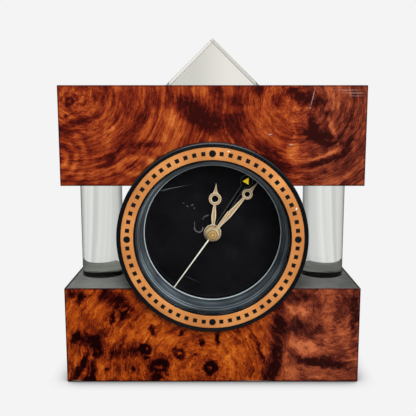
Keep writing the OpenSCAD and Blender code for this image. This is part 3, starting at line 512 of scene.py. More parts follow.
def clear_lens():
    """Thin mineral lens with a quiet surface: clear, hardly any reflection, and scratched by handling."""
    made, tree = new_material("clear_lens")
    place = wandering(tree, from_clock_axis(tree), 2.5, 0.25, 2.0)
    rub = 0.0
    for scratch in LENS_SCRATCHES:
        rub = figure_patch(tree, place, rub, scratch)

    # One scratch is hooked: the lower half of a small ring.
    hook = add(tree, "ShaderNodeVectorMath", {0: place, 1: HOOK_CENTRE}, operation="SUBTRACT").outputs[0]
    away = add(tree, "ShaderNodeVectorMath", {0: hook}, operation="LENGTH").outputs["Value"]
    ring = add(tree, "ShaderNodeMath", {0: away, 1: HOOK_RADIUS}, operation="SUBTRACT").outputs[0]
    ring = add(tree, "ShaderNodeMath", {0: ring}, operation="ABSOLUTE").outputs[0]
    ring = add(tree, "ShaderNodeMapRange",
               {"Value": ring, "From Min": 0.05, "From Max": 0.3, "To Min": 0.15, "To Max": 0.0}).outputs[0]
    height = add(tree, "ShaderNodeSeparateXYZ", {0: hook}).outputs["Z"]
    lower_half = add(tree, "ShaderNodeMath", {0: height, 1: 0.3}, operation="LESS_THAN").outputs[0]
    ring = add(tree, "ShaderNodeMath", {0: ring, 1: lower_half}, operation="MULTIPLY").outputs[0]
    rub = add(tree, "ShaderNodeMath", {0: rub, 1: ring}, operation="ADD").outputs[0]

    clear = add(tree, "ShaderNodeBsdfTransparent", {"Color": linear("f6f8f8")}).outputs[0]
    dust_and_painted_shade = add(tree, "ShaderNodeBsdfDiffuse", {"Color": linear("b8bcbe")}).outputs[0]
    gloss = add(tree, "ShaderNodeBsdfGlossy", {"Color": (1, 1, 1, 1), "Roughness": 0.02}).outputs[0]
    edge = add(tree, "ShaderNodeFresnel", {"IOR": 1.12}).outputs[0]
    rubbed = add(tree, "ShaderNodeMixShader", {0: rub, 1: clear, 2: dust_and_painted_shade}).outputs[0]
    mixed = add(tree, "ShaderNodeMixShader", {0: edge, 1: rubbed, 2: gloss}).outputs[0]
    add(tree, "ShaderNodeOutputMaterial", {"Surface": mixed})
    return made


def dish_plastic():
    """Black ABS: a gloss lip, and a dish whose colour is painted light: painted grey, with pale painted
    highlights along its turned lines, a painted sheen across the slope, a painted reflection of the room and
    a painted highlight on the rim.
    """
    made, tree = new_material("dish_plastic")
    away = add(tree, "ShaderNodeVectorMath", {0: from_clock_axis(tree)}, operation="LENGTH").outputs["Value"]
    lines = add(tree, "ShaderNodeTexNoise", {"W": away, "Scale": 4.2, "Detail": 4.0},
                noise_dimensions="1D").outputs["Fac"]
    dish = add(tree, "ShaderNodeMapRange",
               {"Value": away, "From Min": DISH_RADIUS + 0.1, "From Max": DISH_RADIUS - 0.1,
                "To Min": 0.0, "To Max": 1.0}).outputs[0]
    rim = add(tree, "ShaderNodeMapRange",
              {"Value": away, "From Min": RIM_RADIUS + 0.15, "From Max": RIM_RADIUS - 0.05,
               "To Min": 0.0, "To Max": 1.0}).outputs[0]
    # Painted light: the black wall is painted grey, with pale painted highlights along the turned lines.
    wall = add(tree, "ShaderNodeValToRGB", {"Fac": lines},
               stops=[(0.32, "3c4146"), (0.5, "5c636a"), (0.62, "848d96"), (0.7, "b4bcc4")]).outputs["Color"]
    # Painted sheen: bands of light and shade across the slope from rim to lip.
    slope = add(tree, "ShaderNodeMapRange",
                {"Value": away, "From Min": RIM_RADIUS, "From Max": DISH_RADIUS - 0.1}).outputs[0]
    sheen = add(tree, "ShaderNodeValToRGB", {"Fac": slope},
                stops=[(0.0, 0.6), (0.1, 0.45), (0.22, 0.8), (0.42, 1.3), (0.56, 1.2), (0.64, 0.5),
                       (0.7, 1.6), (0.75, 0.45), (0.82, 1.4), (0.87, 0.4), (0.93, 0.7),
                       (0.97, 0.25)]).outputs["Color"]
    wall = add(tree, "ShaderNodeVectorMath", {0: wall, 1: sheen}, operation="MULTIPLY").outputs[0]
    # Painted reflection of the room: a broad noise that lightens and darkens the wall.
    painted_room_reflection = add(tree, "ShaderNodeTexNoise", {"Vector": millimetres(tree), "Scale": 1 / 17, "Detail": 1.0})
    painted_room_reflection = add(tree, "ShaderNodeMapRange",
                  {"Value": painted_room_reflection.outputs["Fac"], "From Min": 0.36, "From Max": 0.64,
                   "To Min": 0.5, "To Max": 1.3}).outputs[0]
    wall = add(tree, "ShaderNodeVectorMath", {0: wall, "Scale": painted_room_reflection}, operation="SCALE").outputs[0]
    colour = add(tree, "ShaderNodeMix", {0: dish, 6: linear("0b0d10"), 7: wall}, data_type="RGBA").outputs[2]
    # Painted highlight: a pale band on the rim.
    colour = add(tree, "ShaderNodeMix", {0: rim, 6: colour, 7: linear("ccd2d6")}, data_type="RGBA").outputs[2]
    rough = add(tree, "ShaderNodeMapRange", {"Value": dish, "To Min": 0.16, "To Max": 0.3}).outputs[0]
    return surfaced(made, {"Base Color": colour, "Roughness": rough, "IOR": 1.5}, lines, 0.02, 0.6)


def moulded_plastic(name, dark, light, roughness, texture_mm, texture_depth, specular=0.5):
    """Injection-moulded plastic: even colour, with the mould's fine texture in the sheen."""
    made, tree = new_material(name)
    place = millimetres(tree)
    texture = add(tree, "ShaderNodeTexNoise",
                  {"Vector": place, "Scale": 1 / texture_mm, "Detail": 3.0, "Roughness": 0.6}).outputs["Fac"]
    cloud = add(tree, "ShaderNodeTexNoise", {"Vector": place, "Scale": 1 / 12, "Detail": 3.0}).outputs["Fac"]
    colour = add(tree, "ShaderNodeValToRGB", {"Fac": cloud}, stops=[(0.3, dark), (0.7, light)])
    rough = add(tree, "ShaderNodeMapRange",
                {"Value": cloud, "To Min": roughness * 0.8, "To Max": roughness * 1.25})
    return surfaced(made, {"Base Color": colour.outputs["Color"], "Roughness": rough.outputs[0], "IOR": 1.5,
                           "Specular IOR Level": specular}, texture, texture_depth)


def copper_foil():
    """Satin copper foil of the chapter ring: warm orange, finely speckled, with two chips at its edge."""
    made, tree = new_material("copper_foil")
    place = millimetres(tree)
    speckle = add(tree, "ShaderNodeTexNoise",
                  {"Vector": place, "Scale": 1 / 0.45, "Detail": 3.0, "Roughness": 0.7}).outputs["Fac"]
    cloud = add(tree, "ShaderNodeTexNoise", {"Vector": place, "Scale": 1 / 16, "Detail": 2.0}).outputs["Fac"]
    tone = add(tree, "ShaderNodeMath", {0: speckle, 1: 0.6, 2: cloud}, operation="MULTIPLY_ADD").outputs[0]
    colour = add(tree, "ShaderNodeValToRGB", {"Fac": tone},
                 stops=[(0.5, "ab6c38"), (0.8, "c07c42"), (1.0, "cf8e52")]).outputs["Color"]
    chipped = 0.0
    for chip in RING_CHIPS:
        chipped = figure_patch(tree, from_clock_axis(tree), chipped, chip)
    colour = add(tree, "ShaderNodeMix", {0: chipped, 6: colour, 7: linear("f4f0e8")}, data_type="RGBA")
    return surfaced(made, {"Base Color": colour.outputs[2], "Metallic": 0.15, "Roughness": 0.5,
                           "Specular IOR Level": 0.3}, speckle, 0.015, 0.5)


def plated_metal(name, dark, light, roughness, brush_mm, direction=(1, 1, 1), metallic=1.0):
    """Stamped or turned metal: a clean metal sheen with fine tool lines.

    The lines are brush_mm wide, coarser than real ones, so that they show. A low metallic is for faces that
    keep their own colour, such as lacquer, print or ferrite.
    """
    made, tree = new_material(name)
    place = add(tree, "ShaderNodeVectorMath", {0: millimetres(tree), 1: direction}, operation="MULTIPLY")
    lines = add(tree, "ShaderNodeTexNoise", {"Vector": place.outputs[0], "Scale": 1 / brush_mm, "Detail": 4.0,
                                             "Roughness": 0.65}).outputs["Fac"]
    colour = add(tree, "ShaderNodeValToRGB", {"Fac": lines}, stops=[(0.3, dark), (0.7, light)])
    rough = add(tree, "ShaderNodeMapRange",
                {"Value": lines, "To Min": roughness * 0.75, "To Max": roughness * 1.3})
    return surfaced(made, {"Base Color": colour.outputs["Color"], "Metallic": metallic,
                           "Roughness": rough.outputs[0]}, lines, 0.01, 0.6)


def turned_brass():
    """Turned, lacquered brass of the hub, with a mottled heart. Its bright and dark rings of colour are
    painted highlights on the rounded rims of the cap and collars, with painted shade beside them.
    """
    made, tree = new_material("turned_brass")
    place = from_clock_axis(tree)
    away = add(tree, "ShaderNodeVectorMath", {0: place}, operation="LENGTH").outputs["Value"]
    across = add(tree, "ShaderNodeMapRange", {"Value": away, "From Max": HUB_RADIUS}).outputs[0]
    # Painted light and shade: bright rings at the rounded rims, dark rings beside them.
    rings = add(tree, "ShaderNodeValToRGB", {"Fac": across},
                stops=[(0.0, "e6be7e"), (0.14, "dcb06c"), (0.22, "94692e"), (0.3, "e0b674"),
                       (0.42, "d0a460"), (0.51, "74501f"), (0.58, "ffeec8"), (0.66, "d8b088"),
                       (0.78, "c4976c"), (0.82, "946c44"), (0.88, "ffeccc")]).outputs["Color"]
    mottle = add(tree, "ShaderNodeTexNoise",
                 {"Vector": place, "Scale": 1 / 0.7, "Detail": 3.0, "Roughness": 0.7}).outputs["Fac"]
    light = add(tree, "ShaderNodeMapRange",
                {"Value": mottle, "From Min": 0.34, "From Max": 0.66,
                 "To Min": 0.6, "To Max": 1.2}).outputs[0]
    colour = add(tree, "ShaderNodeVectorMath", {0: rings, "Scale": light}, operation="SCALE").outputs[0]
    return surfaced(made, {"Base Color": colour, "Metallic": 0.05, "Roughness": 0.34}, mottle, 0.03, 0.6)


def enamel(name, dark, light, roughness, glow=0.0):
    """Thin paint or screen ink: flat colour with a slight mottle. A glow above zero is painted light: the ink
    glows a little.
    """
    made, tree = new_material(name)
    place = millimetres(tree)
    mottle = add(tree, "ShaderNodeTexNoise",
                 {"Vector": place, "Scale": 1 / 0.8, "Detail": 3.0, "Roughness": 0.6}).outputs["Fac"]
    colour = add(tree, "ShaderNodeValToRGB", {"Fac": mottle},
                 stops=[(0.3, dark), (0.7, light)]).outputs["Color"]
    return surfaced(made, {"Base Color": colour, "Roughness": roughness, "Specular IOR Level": 0.3,
                           "Emission Color": colour, "Emission Strength": glow}, mottle, 0.01, 0.5)


def coil_wire():
    """Enamelled copper wire, wound in layers along X, which gives fine bright ribs.

    The winding is drawn coarser than the real 0.04 mm wire, so that it shows.
    """
    made, tree = new_material("coil_wire")
    turns = add(tree, "ShaderNodeTexWave", {"Vector": millimetres(tree), "Scale": 1.2, "Distortion": 0.3},
                bands_direction="X").outputs["Fac"]
    colour = add(tree, "ShaderNodeValToRGB", {"Fac": turns}, stops=[(0.0, "6e2c12"), (1.0, "c66f3a")])
    return surfaced(made, {"Base Color": colour.outputs["Color"], "Metallic": 0.8, "Roughness": 0.3},
                    turns, 0.1)


# ----------------------------------------------------------------------------
# Mesh tools
# ----------------------------------------------------------------------------

def finish_mesh(name, mesh, body, material, replaced, smooth_angle=32):
    """Links a mesh as a piece: shading, material, body, slot and the CAD nodes it stands for."""
    mesh.polygons.foreach_set("use_smooth", [True] * len(mesh.polygons))
    mesh.set_sharp_from_angle(angle=math.radians(smooth_angle))
    if mesh.materials:
        mesh.materials.clear()
    for finish in material if isinstance(material, list) else [material]:
        mesh.materials.append(finish)
    piece = bpy.data.objects.new(name, mesh)
    bpy.context.scene.collection.objects.link(piece)
    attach(piece, body)
    if replaced:
        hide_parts(*replaced)
    return piece


def turned(name, profile, body, material, replaced, segments=192, origin=None, upright=False):
    """Lathe piece from a closed profile of (radius, depth) in millimetres, about the clock's axis.

    An upright piece turns about a vertical axis through origin, and its profile is (radius, height).
    """
    made = bmesh.new()
    rings = []
    for k in range(segments):
        a = 2 * math.pi * k / segments
        ring = []
        for radius, depth in profile:
            x, y = radius * MM * math.cos(a), radius * MM * math.sin(a)
            if upright:
                spot = (origin.x + x, origin.y + y, depth * MM)
            else:
                spot = (CLOCK_X + x, -depth * MM, CLOCK_Z + y)
            ring.append(made.verts.new(spot))
        rings.append(ring)
    count = len(profile)
    for k in range(segments):
        here, there = rings[k], rings[(k + 1) % segments]
        for i in range(count):
            j = (i + 1) % count
            made.faces.new([here[i], here[j], there[j], there[i]])
    bmesh.ops.remove_doubles(made, verts=made.verts, dist=1e-7)
    bmesh.ops.dissolve_degenerate(made, edges=made.edges, dist=1e-7)
    bmesh.ops.recalc_face_normals(made, faces=made.faces)
    mesh = bpy.data.meshes.new(name)
    made.to_mesh(mesh)
    made.free()
    return finish_mesh(name, mesh, body, material, replaced)


def arc(cx, cz, radius, start, end, steps=6):
    """Points along an arc of a profile, angles in degrees from the +radius direction."""
    angles = [math.radians(start + (end - start) * i / steps) for i in range(steps + 1)]
    return [(cx + radius * math.cos(angle), cz + radius * math.sin(angle)) for angle in angles]


def eased(name, node, body, material, width_mm, segments=2, edge_finish=-1):
    """Copy of a CAD node with its sharp edges eased, as sanding and polishing leave them.

    The eased edges take the finish numbered edge_finish in material, or their neighbours' finish.
    """
    mesh = NODES[node].data.copy()
    mesh.name = name
    made = bmesh.new()
    made.from_mesh(mesh)
    bmesh.ops.remove_doubles(made, verts=made.verts, dist=2e-6)
    bmesh.ops.dissolve_limit(made, angle_limit=math.radians(1), verts=made.verts, edges=made.edges)
    made.to_mesh(mesh)
    made.free()
    if mesh.attributes.get("custom_normal"):
        mesh.attributes.remove(mesh.attributes["custom_normal"])
    piece = finish_mesh(name, mesh, body, material, [node])
    ease = piece.modifiers.new("eased edges", "BEVEL")
    ease.width = width_mm * MM
    ease.segments = segments
    ease.limit_method = "ANGLE"
    ease.angle_limit = math.radians(40)
    ease.harden_normals = True
    ease.material = edge_finish
    return piece


# ----------------------------------------------------------------------------
# Hands
# ----------------------------------------------------------------------------

def turned_to(angle):
    """Rotation that takes a hand drawn towards twelve, in (x, depth, z), to its clock angle."""
    return Matrix.Rotation(math.radians(angle), 4, "Y")


def clock_angle(node):
    """Clock angle of a hand, from the direction of its farthest point."""
    spots = [(v.co.x - CLOCK_X, v.co.z - CLOCK_Z) for v in NODES[node].data.vertices]
    far = max(spots, key=lambda spot: math.hypot(*spot))
    return math.degrees(math.atan2(far[0], far[1]))


def framed_blade(made, stations, low, high, frame_w=0.5, sunk=0.12):
    """Blade along +Z from (distance, half width) stations: eased edges round a sunk middle. The edge faces
    take the hand's second finish, which on the brass hands is a painted highlight.
    """
    rows = []
    for along, half in stations:
        edge = min(frame_w, half * 0.45)
        inner = half - edge
        spots = [(-half, low), (half, low), (half, high - 0.1), (half - edge * 0.4, high),
                 (inner, high - sunk), (-inner, high - sunk), (edge * 0.4 - half, high), (-half, high - 0.1)]
        rows.append([made.verts.new((x * MM, -depth * MM, along * MM)) for x, depth in spots])
    for one, two in zip(rows, rows[1:]):
        for i in range(8):
            j = (i + 1) % 8
            face = made.faces.new([one[i], one[j], two[j], two[i]])
            face.material_index = 1 if i in (2, 3, 5, 6) else 0
    made.faces.new(rows[0])
    made.faces.new(list(reversed(rows[-1])))


def washer(made, along, outer, inner, low, high, round_mm, segments=64):
    """Ring or disc with rounded rims, centred on the blade's line at the distance along. The rims take the
    hand's second finish, which on the brass hands is a painted highlight.
    """
    steps = 3
    section = [(outer, low)]
    section += arc(outer - round_mm, high - round_mm, round_mm, 0, 90, steps)
    if inner > 0:
        section += arc(inner + round_mm, high - round_mm, round_mm, 90, 180, steps) + [(inner, low)]
    rings = []
    for k in range(segments):
        a = 2 * math.pi * k / segments
        rings.append([made.verts.new((r * MM * math.sin(a), -d * MM, (along + r * math.cos(a)) * MM))
                      for r, d in section])
    flat = steps + 1
    for k in range(segments):
        here, there = rings[k], rings[(k + 1) % segments]
        span = len(section) if inner > 0 else len(section) - 1
        for i in range(span):
            j = (i + 1) % len(section)
            face = made.faces.new([here[i], here[j], there[j], there[i]])
            face.material_index = 0 if i in (0, flat) or i > flat + steps else 1
    if inner <= 0:
        made.faces.new([ring[0] for ring in rings])
        made.faces.new([ring[-1] for ring in reversed(rings)])


def place_hand(name, made, angle, body, material, replaced):
    """Turns a hand to its clock angle, moves it to the clock's axis and links it."""
    bmesh.ops.recalc_face_normals(made, faces=made.faces)
    mesh = bpy.data.meshes.new(name)
    made.to_mesh(mesh)
    made.free()
    mesh.transform(Matrix.Translation((CLOCK_X, 0, CLOCK_Z)) @ turned_to(angle))
    return finish_mesh(name, mesh, body, material, replaced)


def lance_hand(name, node, body, ring_back, ring_outer, ring_inner, waist, belly, hub):
    """Champagne hand: a sunk leaf with painted highlights on its edges, an open ring and a fine point."""
    far = reach(node, max)
    high = near_face(node)
    low = high - 0.35
    ring_at = far - ring_back
    foot, tip = hub - 0.8, ring_at - ring_outer
    leaf = tip - foot
    made = bmesh.new()
    framed_blade(made, [(foot, waist), (foot + leaf * 0.18, waist * 1.08), (foot + leaf * 0.42, belly),
                        (foot + leaf * 0.52, belly * 0.97), (foot + leaf * 0.8, belly * 0.72),
                        (tip + 0.5, waist * 0.72)], low, high)
    framed_blade(made, [(ring_at + ring_outer - 0.45, ring_outer * 0.42), (ring_at + ring_outer + 0.6, 0.95),
                        (ring_at + ring_outer + 1.6, 0.62), (far, 0.1)], low, high)
    washer(made, ring_at, ring_outer, ring_inner, low, high + 0.1, 0.3)
    hub_from = len(made.faces)
    washer(made, 0, hub, 1.2, low, high + 0.12, 0.35, 96)
    for face in list(made.faces)[hub_from:]:
        face.material_index = 2
    return place_hand(name, made, clock_angle(node), body,
                      [FINISH["champagne_brass"], FINISH["painted_highlight_edge"], FINISH["hub_brass"]], [node])


def sweep_hand():
    """Second hand: a cream needle, with a bare metal boss and counterweight tail."""
    node = "second_hand"
    spots = [(v.co.x - CLOCK_X, v.co.z - CLOCK_Z) for v in NODES[node].data.vertices]
    angle = clock_angle(node)
    along = (math.sin(math.radians(angle)), math.cos(math.radians(angle)))
    stations = [(x * along[0] + z * along[1]) / MM for x, z in spots]
    tip, tail_end = max(stations), min(stations)
    high = near_face(node)
    low = high - 0.3
    needle = bmesh.new()
    framed_blade(needle, [(1.6, 0.42), (12, 0.37), (tip - 0.6, 0.26), (tip, 0.14)], low, high, 0.1, 0.02)
    place_hand("sweep_needle", needle, angle, "second", [FINISH["cream_enamel"]] * 2, [node])
    tail = bmesh.new()
    framed_blade(tail, [(tail_end, 0.75), (-3, 0.62), (-0.9, 0.5)], low, high)
    washer(tail, 0, 2.2, 0.8, low, high, 0.08)
    place_hand("sweep_tail", tail, angle, "second",
               [FINISH["champagne_brass"], FINISH["painted_highlight_edge"]], [node])


# ----------------------------------------------------------------------------
# Camera, light and stage
# ----------------------------------------------------------------------------

def make_camera():
    """A 54 mm lens, level with the upper block and tilted down to the clock."""
    data = bpy.data.cameras.new("camera")
    data.sensor_width = 36
    data.lens = 53.76
    data.shift_x = -0.0108
    data.dof.use_dof = False
    camera = bpy.data.objects.new("camera", data)
    distance, height, tilt = 309.1, 139.05, 8.59
    camera.location = (0, BASE_LOW[1] - distance * MM, height * MM)
    camera.rotation_euler = (math.radians(90 - tilt), 0, 0)
    bpy.context.scene.collection.objects.link(camera)
    bpy.context.scene.camera = camera


def make_softbox(name, place, aim, width, height, power, in_reflections):
    """Rectangular lamp at place, turned to aim. Lengths in metres, power in watts."""
    data = bpy.data.lights.new(name, "AREA")
    data.shape = "RECTANGLE"
    data.size, data.size_y = width, height
    data.energy = power
    lamp = bpy.data.objects.new(name, data)
    lamp.location = place
    lamp.rotation_euler = (Vector(aim) - Vector(place)).to_track_quat("-Z", "Y").to_euler()
    lamp.visible_glossy = in_reflections
    lamp.visible_transmission = False
    bpy.context.scene.collection.objects.link(lamp)


def room_seen_through(tree, direction):
    """Grey of the room as the clear pieces bend it: white ahead, dimmer to the sides, with upright bars."""
    unit = add(tree, "ShaderNodeVectorMath", {0: direction}, operation="NORMALIZE").outputs[0]
    sides = add(tree, "ShaderNodeSeparateXYZ", {0: unit})
    bars = add(tree, "ShaderNodeTexNoise", {"W": sides.outputs["X"], "Scale": 4.5, "Detail": 2.0},
               noise_dimensions="1D").outputs["Fac"]
    bars = add(tree, "ShaderNodeMapRange",
               {"Value": bars, "From Min": 0.35, "From Max": 0.65, "To Min": 0.8, "To Max": 1.04}).outputs[0]
    away = add(tree, "ShaderNodeMath", {0: sides.outputs["Y"]}, operation="ABSOLUTE").outputs[0]
    facing = add(tree, "ShaderNodeValToRGB", {"Fac": away},
                 stops=[(0.0, 0.12), (0.45, 0.36), (0.8, 0.8), (0.97, 0.88)]).outputs["Color"]
    return add(tree, "ShaderNodeVectorMath", {0: facing, "Scale": bars}, operation="SCALE").outputs[0]


def make_world():
    """Even pale surroundings. Mirror reflections see a bright ceiling and a dim room instead."""
    world = bpy.data.worlds.new("studio")
    world.use_nodes = True
    world.cycles.sampling_method = "NONE"
    bpy.context.scene.world = world
    tree = world.node_tree
    tree.nodes.clear()
    rays = add(tree, "ShaderNodeLightPath").outputs
    direction = add(tree, "ShaderNodeTexCoord").outputs["Generated"]
    height = add(tree, "ShaderNodeSeparateXYZ", {0: direction}).outputs["Z"]
    upward = add(tree, "ShaderNodeMapRange", {"Value": height, "From Min": -1.0}).outputs[0]
    room = add(tree, "ShaderNodeValToRGB", {"Fac": upward},
               stops=[(0.0, 0.01), (0.5, 0.03), (0.66, 0.12), (0.8, 0.75), (1.0, 0.95)]).outputs["Color"]
    pale = add(tree, "ShaderNodeBackground", {"Color": linear(PAPER), "Strength": 0.6}).outputs[0]
    dim = add(tree, "ShaderNodeBackground", {"Color": room}).outputs[0]
    through = add(tree, "ShaderNodeBackground", {"Color": room_seen_through(tree, direction)}).outputs[0]
    shown = add(tree, "ShaderNodeBackground", {"Color": linear(PAPER)}).outputs[0]
    mixed = add(tree, "ShaderNodeMixShader", {0: rays["Is Glossy Ray"], 1: pale, 2: dim}).outputs[0]
    mixed = add(tree, "ShaderNodeMixShader",
                {0: rays["Is Transmission Ray"], 1: mixed, 2: through}).outputs[0]
    mixed = add(tree, "ShaderNodeMixShader", {0: rays["Is Camera Ray"], 1: mixed, 2: shown}).outputs[0]
    add(tree, "ShaderNodeOutputWorld", {"Surface": mixed})


def make_floor():
    """Pale seamless floor, evenly lit, with a soft contact shadow. Bounced light finds it a little dimmer."""
    made, tree = new_material("pale_paper")
    rays = add(tree, "ShaderNodeLightPath").outputs
    openness = add(tree, "ShaderNodeAmbientOcclusion", {"Distance": 12 * MM}, samples=16).outputs["AO"]
    shade = add(tree, "ShaderNodeValToRGB", {"Fac": openness},
                stops=[(0.0, 0.03), (0.48, 0.12), (0.56, 0.4), (0.7, 0.68), (0.86, 0.84),
                       (0.98, linear(PAPER)[0])]).outputs["Color"]
    spread = add(tree, "ShaderNodeMapRange", {"Value": rays["Is Diffuse Ray"], "To Min": 1.0, "To Max": 0.6})
    glow = add(tree, "ShaderNodeEmission", {"Color": shade, "Strength": spread.outputs[0]}).outputs[0]
    place = add(tree, "ShaderNodeTexCoord").outputs["Object"]
    through = add(tree, "ShaderNodeEmission", {"Color": room_seen_through(tree, place)}).outputs[0]
    mixed = add(tree, "ShaderNodeMixShader", {0: rays["Is Transmission Ray"], 1: glow, 2: through}).outputs[0]
    add(tree, "ShaderNodeOutputMaterial", {"Surface": mixed})
    half = 4.0  # metres
    mesh = bpy.data.meshes.new("floor")
    corners = [(-half, -half, 0), (half, -half, 0), (half, half, 0), (-half, half, 0)]
    mesh.from_pydata(corners, [], [(0, 1, 2, 3)])
    mesh.materials.append(made)
    floor = bpy.data.objects.new("floor", mesh)
    bpy.context.scene.collection.objects.link(floor)
    floor.visible_glossy = False


make_camera()
make_world()
make_floor()
make_softbox("key", (0.42, -1.05, 0.72), (0, 0, 0.09), 0.7, 0.6, 17.5, False)
make_softbox("back_fill", (-0.5, 1.1, 0.5), (0, 0, 0.09), 0.7, 0.6, 6.0, False)
make_softbox("ceiling", (0.1, -0.25, 1.2), (0, 0, 0.05), 1.2, 0.5, 7.0, True)

scene = bpy.context.scene
scene.view_settings.view_transform = "Standard"
scene.view_settings.look = "None"
scene.cycles.use_denoising = True
scene.cycles.caustics_refractive = True


# ----------------------------------------------------------------------------
# Finishes
# ----------------------------------------------------------------------------

FINISH = {
    "upper_burl": burl_veneer("upper_burl", TOP_LOW, TOP_HIGH, UPPER_FIGURE, UPPER_COLOURS),
    "lower_burl": burl_veneer("lower_burl", BASE_LOW, BASE_HIGH, LOWER_FIGURE, LOWER_COLOURS),
    "fibreboard": lacquered_fibreboard(),
    "laminate": charcoal_laminate(),
    "felt": wool_felt(),
    "column_acrylic": cast_acrylic("column_acrylic", "eff1ed"),
    "prism_acrylic": cast_acrylic("prism_acrylic", "f6f4ec"),
    "lens": clear_lens(),
    "black_abs": moulded_plastic("black_abs", "0b0d0f", "12151a", 0.2, 0.9, 0.004, 0.6),
    "dish_plastic": dish_plastic(),
    "dial_gloss": moulded_plastic("dial_gloss", "0e0d0f", "1a181b", 0.12, 2.0, 0.002, 0.35),
    "spark_abs": moulded_plastic("spark_abs", "101114", "191b1e", 0.55, 0.35, 0.03),
    "knob_abs": moulded_plastic("knob_abs", "131416", "1c1e20", 0.4, 0.5, 0.01),
    "movement_abs": moulded_plastic("movement_abs", "26282b", "33363a", 0.5, 0.5, 0.02),
    "acetal": moulded_plastic("acetal", "cfcab8", "ded9c8", 0.4, 0.7, 0.01),
    "red_abs": moulded_plastic("red_abs", "b02a1c", "c23424", 0.35, 0.7, 0.008),
    "solder_mask": moulded_plastic("solder_mask", "1d4f2a", "2c6b3b", 0.3, 0.8, 0.01),
    "resin": moulded_plastic("resin", "0a0a0b", "121213", 0.25, 1.0, 0.01),
    "copper_foil": copper_foil(),
    "screen_ink": enamel("screen_ink", "0b0c0d", "121315", 0.45),
    "champagne_brass": plated_metal("champagne_brass", "c0926a", "d8ad82", 0.42, 0.5, metallic=0.05),
    # Pale flat colour for the hands' edges: a painted highlight.
    "painted_highlight_edge": plated_metal("painted_highlight_edge", "f2d8b2", "fff0d6", 0.3, 0.5, metallic=0.0),
    "hub_brass": turned_brass(),
    "cream_enamel": enamel("cream_enamel", "f8e8d2", "fff6e8", 0.4),
    "black_enamel": enamel("black_enamel", "060606", "0b0b0b", 0.35),
    # The yellow arrow glows a little: painted light that brightens it in the shade of the dish.
    "yellow_ink": enamel("yellow_ink", "f6ca14", "ffdc28", 0.5, 0.5),
    # Grey for the alarm hand's edges: a painted highlight.
    "painted_highlight_enamel": enamel("painted_highlight_enamel", "707274", "9a9c9e", 0.5),
    "cut_brass": plated_metal("cut_brass", "a9812f", "cfa64e", 0.3, 0.4),
    "ferrite": plated_metal("ferrite", "1c1c1e", "2b2b2e", 0.6, 0.6, metallic=0.3),
    "silicon_steel": plated_metal("silicon_steel", "7f8285", "a4a7aa", 0.35, 0.5, (0.2, 1, 1)),
    "coil_wire": coil_wire(),
    "drawn_can": plated_metal("drawn_can", "a8abae", "c9ccce", 0.25, 0.5, (0.1, 1, 1)),
    "rolled_brass": plated_metal("rolled_brass", "a07c34", "c9a352", 0.3, 0.5),
    "battery_wrap": plated_metal("battery_wrap", "1f2226", "34383d", 0.35, 1.0, (0.1, 1, 1), metallic=0.4),
    "nickel": plated_metal("nickel", "9a9c9f", "c0c2c4", 0.28, 0.4),
    "zinc": plated_metal("zinc", "8b8d90", "b3b5b7", 0.35, 0.4),
}

CAD_FINISH = {
    "core_black": "fibreboard", "charcoal_laminate": "laminate", "felt": "felt",
    "clear_acrylic": "column_acrylic", "case_black": "black_abs", "copper_ring": "copper_foil",
    "printed_black": "screen_ink", "lens_clear": "lens", "dial_black": "dial_gloss",
    "hand_gold": "champagne_brass", "hand_cream": "cream_enamel", "alarm_black": "black_enamel",
    "arrow_yellow": "yellow_ink", "movement_black": "movement_abs", "gear_plastic": "acetal",
    "gear_brass": "cut_brass", "magnet": "ferrite", "stator_steel": "silicon_steel",
    "copper_wire": "coil_wire", "board_green": "solder_mask", "crystal_can": "drawn_can",
    "chip_black": "resin", "buzzer_brass": "rolled_brass", "battery_can": "battery_wrap",
    "contact_spring": "nickel", "knob_black": "knob_abs", "switch_red": "red_abs",
    "cover_black": "spark_abs", "screw_zinc": "zinc",
}

slot_of = {part["node"]: part["material_slot"] for part in frame["record"]["subparts"]}
for node, cad in NODES.items():
    slot = slot_of[node]
    finish = CAD_FINISH.get(slot) or ("upper_burl" if node.startswith("top") else "lower_burl")
    cad.data.materials.clear()
    cad.data.materials.append(FINISH[finish])


# ----------------------------------------------------------------------------
# Blocks, columns and roof
# ----------------------------------------------------------------------------

EASE = 0.35
for side, finish in (("base", "lower_burl"), ("top", "upper_burl")):
    for part in ("front_veneer", "end_veneer_left", "end_veneer_right"):
        node = f"{side}_{part}"
        eased(f"{node}_eased", node, "root", FINISH[finish], EASE)
    eased(f"{side}_core_eased", f"{side}_core", "root", FINISH["fibreboard"], EASE)
for node in ("base_top_laminate_left", "base_top_laminate_right", "top_cap_laminate", "top_under_laminate"):
    eased(f"{node}_eased", node, "root", FINISH["laminate"], 0.12)
eased("felt_pad", "base_felt", "root", FINISH["felt"], 0.3, 3)

for side in ("left", "right"):
    node = f"column_{side}"
    low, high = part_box(node)
    r, z0, z1, ease = half_width(node), low[2] / MM, high[2] / MM, 0.3
    outline = [(0, z0), (r - ease, z0), (r, z0 + ease), (r, z1 - ease), (r - ease, z1), (0, z1)]
    rod = turned(f"clear_{node}", outline, "root", FINISH["column_acrylic"], [node],
                 256, middle(node), True)
    rod.visible_shadow = False
prism = eased("roof_prism_polished", "roof_prism", "root", FINISH["prism_acrylic"], 0.25)
prism.visible_shadow = False


# ----------------------------------------------------------------------------
# Clock face
# ----------------------------------------------------------------------------

